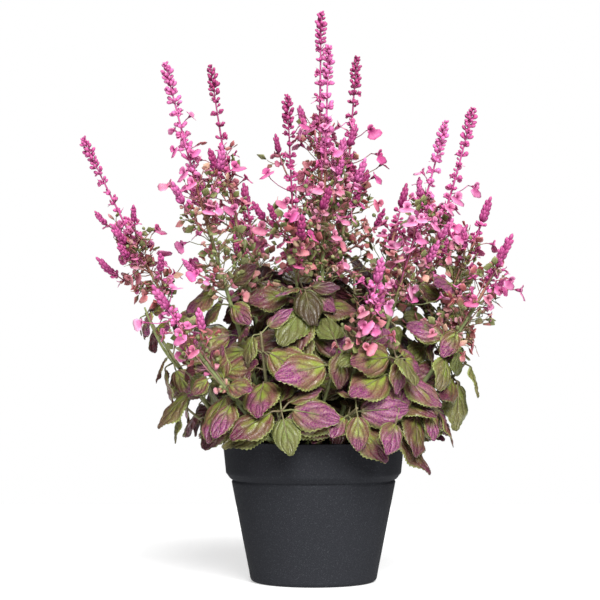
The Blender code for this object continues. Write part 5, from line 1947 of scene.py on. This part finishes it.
@dataclass
class Shoots:
    """A leafy stem: its main shoot, the two side shoots that fork from it, and their leaves."""

    stem: LeafyStem
    witness: Witness
    cutter: LeafCutter
    coarse: LeafCutter
    forks: Pair = (0.021, 0.029)
    main_radii: Numbers = (0.0023, 0.0009)
    side_radii: Numbers = (0.0015, 0.0009)
    main_pairs: tuple[Pair, ...] = ((0.0018, 0.62), (0.0165, 0.96), (0.0400, 1.0))
    side_pairs: tuple[Pair, ...] = ((0.0018, 0.70), (0.0180, 1.0))
    lesser: Numbers = (0.95, 0.78, 0.55)

    def __post_init__(self) -> None:
        """Works out the lines of the three shoots, as the solids have them, and finds their leaves."""
        stem = self.stem
        root, tip = np.array((*metres(stem.root), SOIL_TOP)), metres(stem.main)
        line = Line(root, elbow(root, tip, 0.55, 0.42), tip)
        turn = random.Random(f"shoot {stem.name}").uniform(0.0, 90.0)
        sockets = (*self.forks, *(line.length - below for below, _ in self.main_pairs[::-1]))
        self.main = Axis(line, taper(*self.main_radii, line.length), sockets, turn)
        self.shoots = [(self.main, self.main_pairs, len(self.forks), stem.sizes[0])]
        for number, side_tip in enumerate((stem.lower, stem.upper)):
            shoot = self.fork(number, metres(side_tip))
            self.shoots.append((shoot, self.side_pairs, 0, stem.sizes[1 + number]))
        foot, tips = line.at(0.62 * line.length), [metres(place) for place in stem.spurs]
        self.spurs = [Line(foot, elbow(foot, tip, 0.6, 0.3), tip) for tip in tips]
        self.foliage = Foliage(self.cutter, self.coarse, seeded(f"shoots {stem.name}", 53))
        self.foliage.held = [(leaf, pair == 0) for leaf, pair in self.leaves_held()]

    def fork(self, number: int, tip: Vec) -> Axis:
        """A side shoot from the side of the main one that faces its tip.

        Args:
            number: The socket of the main shoot.
            tip: Where the side shoot ends.

        Returns:
            The side shoot, with its sockets.
        """
        foot = self.main.foot(number)
        side = max(range(4), key=lambda k: np.dot(self.main.out(number, k), tip - foot))
        radius = taper(*self.side_radii, float(np.linalg.norm(tip - foot)))
        shoot = self.main.child(number, side, tip, elbow(foot, tip, 0.62, 0.40), radius)
        shoot.sockets = tuple(shoot.line.length - below for below, _ in self.side_pairs[::-1])
        return shoot

    @staticmethod
    def choices(axis: Axis, key: str, number: int, side: int, size: float) -> Iterator[Leaf]:
        """The leaves that one side of a socket may carry, in the source's order.

        Args:
            axis: The shoot.
            key: The shoot's name, which settles the chances.
            number: The socket.
            side: The side of the shoot.
            size: The leaf's size.

        Yields:
            The leaves.
        """
        chance = random.Random(f"{key} {number} {side}")
        jitter = np.array([chance.uniform(-1.0, 1.0) for _ in range(3)])
        swing, lengthen, bow = (chance.uniform(-1.0, 1.0) for _ in range(3))
        foot = axis.foot(number)
        turns, lifts = (0, 20, -20, 40, -40, 60, -60), (0.0, 22.0, -22.0, 44.0)
        for shrink, turn, lift in product((1.0, 0.86, 0.72), turns, lifts):
            out = axis.out(number, side, 12.0 * swing + turn)
            yield Leaf.grown(foot, out, jitter, lift, size, size * shrink * (1.0 + 0.08 * lengthen), bow)

    def leaves_held(self) -> Iterator[tuple[Leaf, int]]:
        """Finds the leaves of the solids by their tips.

        Yields:
            The leaves, each with the number of its pair.
        """
        name = self.stem.name
        for index, (axis, pairs, skip, scale) in enumerate(self.shoots):
            for pair, half in product(range(len(pairs)), (0, 2)):
                number, size = skip + len(pairs) - 1 - pair, pairs[pair][1] * scale
                for leaf in self.choices(axis, f"{name} {index}", number, pair % 2 + half, size):
                    if self.witness.holds(f"leafy_stem_{name}", leaf.tip()):
                        yield leaf, pair
                        break

    def claim(self, room: Room) -> None:
        """Notes the shoots and the solids' leaves.

        Args:
            room: Where they are noted.
        """
        for axis, _, _, _ in self.shoots:
            room.add_tube(axis.line, 0.004, axis.line.length - 0.004)
        for leaf, _ in self.foliage.held:
            room.add(room.blade(leaf))

    def fill(self, room: Room) -> None:
        """Adds lesser leaves between the solids' ones, up every shoot and spur, on each of its four sides.

        Args:
            room: What is placed already.
        """
        lines = [(line, 0.9) for line in self.spurs]
        lines += [(axis.line, scale) for axis, _, _, scale in self.shoots]
        for line, scale in lines:
            for stop in np.arange(0.012, line.length - 0.001, self.stem.spacing):
                spin, young = self.foliage.draw.uniform(0.0, 90.0), stop > line.length - 0.016
                for side in range(4):
                    sizes = np.array(self.lesser) * max(scale, 0.8)
                    self.foliage.grow(room, line, stop, spin + 90.0 * side, sizes, young)

    def build(self, leaf_finish: bpy.types.Material, stem_finish: bpy.types.Material) -> None:
        """Makes the leaves and the shoots.

        Args:
            leaf_finish: The material of the blades.
            stem_finish: The material of the shoots and the leaves' stalks.
        """
        shoots, name, rows = Sheaf(), self.stem.name, 26
        blades = self.foliage.build(f"leaves_{name}", leaf_finish, shoots)
        tints = blend(Foliage.green, Foliage.purple, 0.45 * smooth(0.3, 1.0, np.linspace(0.0, 1.0, rows)))
        for axis, _, _, _ in self.shoots:
            line = axis.line
            stops = np.linspace(-ROOT_DEPTH if axis is self.main else -0.001, line.length, rows)
            radii = np.array([axis.radius(stop) for stop in stops]) * 0.95
            across = line.radial(0.0, axis.degrees)
            shoots.tube(line.path(stops), radii, tints, STEM_SIDES, STEM_SQUARE, across)
        for line in self.spurs:
            path = line.path(np.linspace(0.0, line.length, 14))
            shoots.tube(path, np.linspace(0.0014, 0.0007, 14), Foliage.green, 8)
        hand_over(blades, "leaves", f"leafy_stem_{name}")
        hand_over(shoots.to_object(f"shoots_{name}", stem_finish), "stems", f"leafy_stem_{name}")


# Pot and soil.


def arc(middle: Pair, radius: float, first: float, last: float, count: int) -> list[tuple]:
    """Points of a round edge, (radius, height) = middle + radius (cos a, sin a), from angle first to last."""
    angles = np.linspace(first, last, count)
    return [(middle[0] + radius * math.cos(a), middle[1] + radius * math.sin(a)) for a in angles]


def slope(low: Pair, high: Pair, heights: Vec) -> list[Pair]:
    """Points at these heights of the straight wall between two (radius, height) corners."""
    return [(float(np.interp(z, (low[1], high[1]), (low[0], high[0]))), float(z)) for z in heights]


@dataclass
class Pot:
    """The pot: a profile of (radius, height) turned round the axis in many fine steps.

    Its step goes from the groove under the shoulder, over the shoulder, to the band's lower edge, in
    millimetres.
    """

    rim: Pair = (0.0705, 0.110)
    band: Pair = (0.0678, 0.0840)
    body: Pair = (0.0636, 0.0780)
    foot_radius: float = 0.0492
    foot_round: float = 0.0040
    lip: float = 0.0008
    wall: float = 0.0022
    floor: float = 0.0026
    sides: int = 160
    step: Outline = (
        (63.4, 77.6), (62.9, 78.2), (62.9, 79.0), (64.4, 79.8), (65.0, 80.4), (66.9, 83.0), (67.6, 83.8),
        (67.9, 84.6),
    )

    def profile(self) -> list[Pair]:
        """Works out the outline.

        Returns:
            It runs from the middle of the underside up the outside, over the lip and down the inside.
        """
        rim, top = self.rim
        quarter = math.pi / 2
        foot = arc((self.foot_radius - self.foot_round, self.foot_round), self.foot_round, -quarter, -0.19, 8)
        points = [(0.0, 0.0), (0.5 * self.foot_radius, 0.0), *foot]
        points += slope((foot[-1][0], self.foot_round), self.body, np.linspace(0.008, 0.0765, 24))
        points += [(radius * MM, z * MM) for radius, z in self.step]
        points += slope(self.band, self.rim, np.linspace(0.0865, top - self.lip, 10))
        points += arc((rim - self.lip, top - self.lip), self.lip, 0.2, quarter, 6)
        points += [(rim - self.wall + 0.0005, top), (rim - self.wall, top - 0.0006)]
        inner = (self.band, self.body, (self.foot_radius + 0.0006, self.floor))
        points += [(radius - self.wall, z) for radius, z in inner]
        return points + [(0.3 * self.foot_radius, self.floor), (0.0, self.floor)]

    def outside(self) -> Sheet:
        """The band and the lip, which leaves keep clear of.

        Returns:
            A coarse surface.
        """
        inner = [(radius - self.wall, z) for radius, z in (self.rim, self.band)]
        outline = ((self.body[0], 0.06), self.band, self.rim, *inner)
        return Room.sheet(turned_rings(outline, 40), closed=True)

    def build(self, finish: bpy.types.Material) -> None:
        """Makes the pot.

        Args:
            finish: Its material.
        """
        sheaf = Sheaf()
        form = Form.turned(self.profile(), self.sides)
        sheaf.set_down(form, ZERO, UP, np.array((0.0, 1.0, 0.0)), 1.0)
        piece = sheaf.to_object("nursery_pot", finish)
        piece.data.set_sharp_from_angle(angle=math.radians(60))
        hand_over(piece, "pot", "pot")


@dataclass
class Soil:
    """The soil: a plug with a lumpy, heaped top and loose crumbs on it."""

    crown: float = 0.0030
    radius: float = 0.0660
    crumb_reach: float = 0.064
    foot_z: float = 0.0029
    crumbs: int = 900
    sides: int = 96
    side: Outline = ((0.0468, 0.0029), (0.0606, 0.078), (0.0648, 0.084), (0.0660, 0.0955))
    waves: Outline = ((60.0, 0.0009), (140.0, 0.0006), (330.0, 0.00045), (700.0, 0.0003))

    def surface(self, x: float | Vec, y: float | Vec) -> Vec:
        """The height of the top: a heap that falls with the square of the radius, and waves on it.

        Args:
            x: To the right.
            y: To the back.

        Returns:
            The height at each place.
        """
        draw = np.random.default_rng(11)
        height = SOIL_TOP + self.crown * (1.0 - (x**2 + y**2) / self.radius**2)
        for scale, size in self.waves:
            for _ in range(4):
                angle, phase = draw.uniform(0.0, math.tau, 2)
                run = x * math.cos(angle) + y * math.sin(angle)
                height = height + size * np.sin(scale * math.pi * run + phase)
        return height

    def build(self, finish: bpy.types.Material) -> None:
        """Makes the soil.

        Args:
            finish: Its material.
        """
        sheaf, angle = Sheaf(), circle(self.sides)
        reach = np.linspace(0.99, 0.02, 34)[:, None] * self.radius
        x, y = reach * np.cos(angle), reach * np.sin(angle)
        top = np.stack((x, y, self.surface(x, y)), axis=-1)
        rings = np.concatenate((turned_rings(self.side, self.sides), top))
        ends = np.array(((0.0, 0.0, self.foot_z), (0.0, 0.0, float(self.surface(0.0, 0.0)))))
        sheaf.grid(rings, ends)
        crumb = Blooms.turned(5, (0.0, -0.7), (0.7, -0.4), (0.9, 0.1), (0.5, 0.6), (0.0, 0.8))
        draw = np.random.default_rng(12)
        for _ in range(self.crumbs):
            radius, turn = self.crumb_reach * math.sqrt(draw.uniform()), draw.uniform(0.0, math.tau)
            x, y = radius * math.cos(turn), radius * math.sin(turn)
            spot = np.array((x, y, float(self.surface(x, y)) + 0.0002))
            size = draw.uniform(0.5, 2.2) * np.array((1.0, draw.uniform(0.5, 1.0), draw.uniform(0.5, 1.2)))
            sheaf.set_down(crumb, spot, draw.normal(size=3), draw.normal(size=3), size)
        hand_over(sheaf.to_object("potting_soil", finish), "soil", "soil")


# Studio.


@dataclass
class Studio:
    """A pale floor, soft light from large lamps and a white sky, and the camera of the photograph."""

    eye: Numbers = (-0.0105, -1.9, 0.2177)
    lens: float = 147.1
    aim: Numbers = (0.0, 0.0, 0.2)
    floor_size: float = 1.4
    floor_colour: Colour = (0.62, 0.62, 0.62)
    floor_glow: float = 0.50
    sky: float = 0.05
    white: Numbers = (1.0, 1.0, 1.0, 1.0)

    def floor(self) -> None:
        """The floor, a large flat sheet under the pot."""
        half = 0.5 * self.floor_size
        corners = [(x * half, y * half, 0.0) for x, y in ((-1, -1), (1, -1), (1, 1), (-1, 1))]
        mesh = bpy.data.meshes.new("studio_floor")
        mesh.from_pydata(corners, [], [range(4)])
        glow = {"Emission_Color": self.white, "Emission_Strength": self.floor_glow}
        finish = Nodes("studio_floor").finish(self.floor_colour, 0.9, Specular_IOR_Level=0.1, **glow)
        mesh.materials.append(finish)
        linked(bpy.data.objects.new("studio_floor", mesh))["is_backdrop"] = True

    def lamp(self, name: str, kind: str, spot: Sequence[float], **settings: Any) -> None:
        """Hangs a lamp at a spot, turned to the middle of the plant.

        Args:
            name: What it is called.
            kind: Its type.
            spot: Where it hangs.
            **settings: Its own settings.
        """
        light = bpy.data.lights.new(name, kind)
        for key, value in settings.items():
            setattr(light, key, value)
        made = linked(bpy.data.objects.new(name, light))
        way = np.array(self.aim) - np.array(spot)
        made.location = spot
        flat = math.hypot(way[0], way[1])
        made.rotation_euler = Euler((math.atan2(flat, -way[2]), 0.0, math.atan2(-way[0], way[1])))

    def sky_dome(self) -> None:
        """The sky looks white, and lights the plant less than it looks, so that the lamps model its form."""
        world = bpy.data.worlds.new("studio_sky")
        world.use_nodes = True
        nodes, links = world.node_tree.nodes, world.node_tree.links
        sky, seen = nodes["Background"], nodes.new("ShaderNodeBackground")
        for background, strength in ((sky, self.sky), (seen, 1.0)):
            background.inputs["Color"].default_value = self.white
            background.inputs["Strength"].default_value = strength
        path, mix = nodes.new("ShaderNodeLightPath"), nodes.new("ShaderNodeMixShader")
        for number, source in enumerate((path.outputs["Is Camera Ray"], sky.outputs[0], seen.outputs[0])):
            links.new(source, mix.inputs[number])
        links.new(mix.outputs[0], nodes["World Output"].inputs["Surface"])
        bpy.context.scene.world = world

    def build(self) -> None:
        """Makes the floor, the lamps, the sky and the camera."""
        self.floor()
        self.lamp("key", "SUN", (0.45, -2.0, 1.75), energy=5.4, angle=math.radians(36.0))
        self.lamp("fill", "AREA", (-1.5, -1.1, 0.7), shape="SQUARE", size=1.2, energy=2.0)
        self.lamp("back", "AREA", (-0.1, 1.6, 1.9), shape="SQUARE", size=1.6, energy=26.0)
        self.sky_dome()
        camera = bpy.data.cameras.new("camera")
        camera.lens, camera.sensor_width = self.lens, 36.0
        made = linked(bpy.data.objects.new("camera", camera))
        made.location = self.eye
        made.rotation_euler = Euler((math.pi / 2, 0.0, 0.0))
        scene = bpy.context.scene
        scene.camera = made
        scene.view_settings.view_transform = "Standard"


def write_sizes() -> None:
    """Writes the solids' box and the finished plant's box side by side."""
    boxes = {"cad": [list(corner) for corner in cad_box], "visual": [list(corner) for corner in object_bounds()]}
    for axis, name in enumerate("xyz"):
        low, high = ((boxes["visual"][end][axis] - boxes["cad"][end][axis]) / MM for end in (0, 1))
        log.info("%s: %.1f mm and %.1f mm past the solids", name, -low, high)


def main() -> None:
    """Builds the studio, the pot, the soil and the plant, each from its own class."""
    logging.basicConfig(level=logging.INFO, format="%(message)s")
    Studio().build()
    pot = Pot()
    pot.build(PotFinish().make())
    Soil().build(SoilFinish().make())
    witness, blooms = Witness(frame["nodes"]), Blooms()
    cutter, coarse = LeafCutter(), LeafCutter(rows=20, columns=3)
    tissue, leaf = TissueFinish().make(), LeafFinish().make()
    sprays = [Spray(stem, blooms, witness, coarse) for stem in FLOWER_STEMS]
    bushes = [Shoots(stem, witness, cutter, coarse) for stem in LEAFY_STEMS]
    room = Room()
    room.add(pot.outside())
    for spray in sprays:
        room.add_tube(spray.line, 0.002, 0.6 * spray.line.length, 0.0018)
    for bush in bushes:
        bush.claim(room)
    room.close()
    for plant in (*bushes, *sprays):
        plant.fill(room)
    for plant in (*bushes, *sprays):
        plant.build(leaf, tissue)
    write_sizes()


if __name__ == "__main__":
    main()
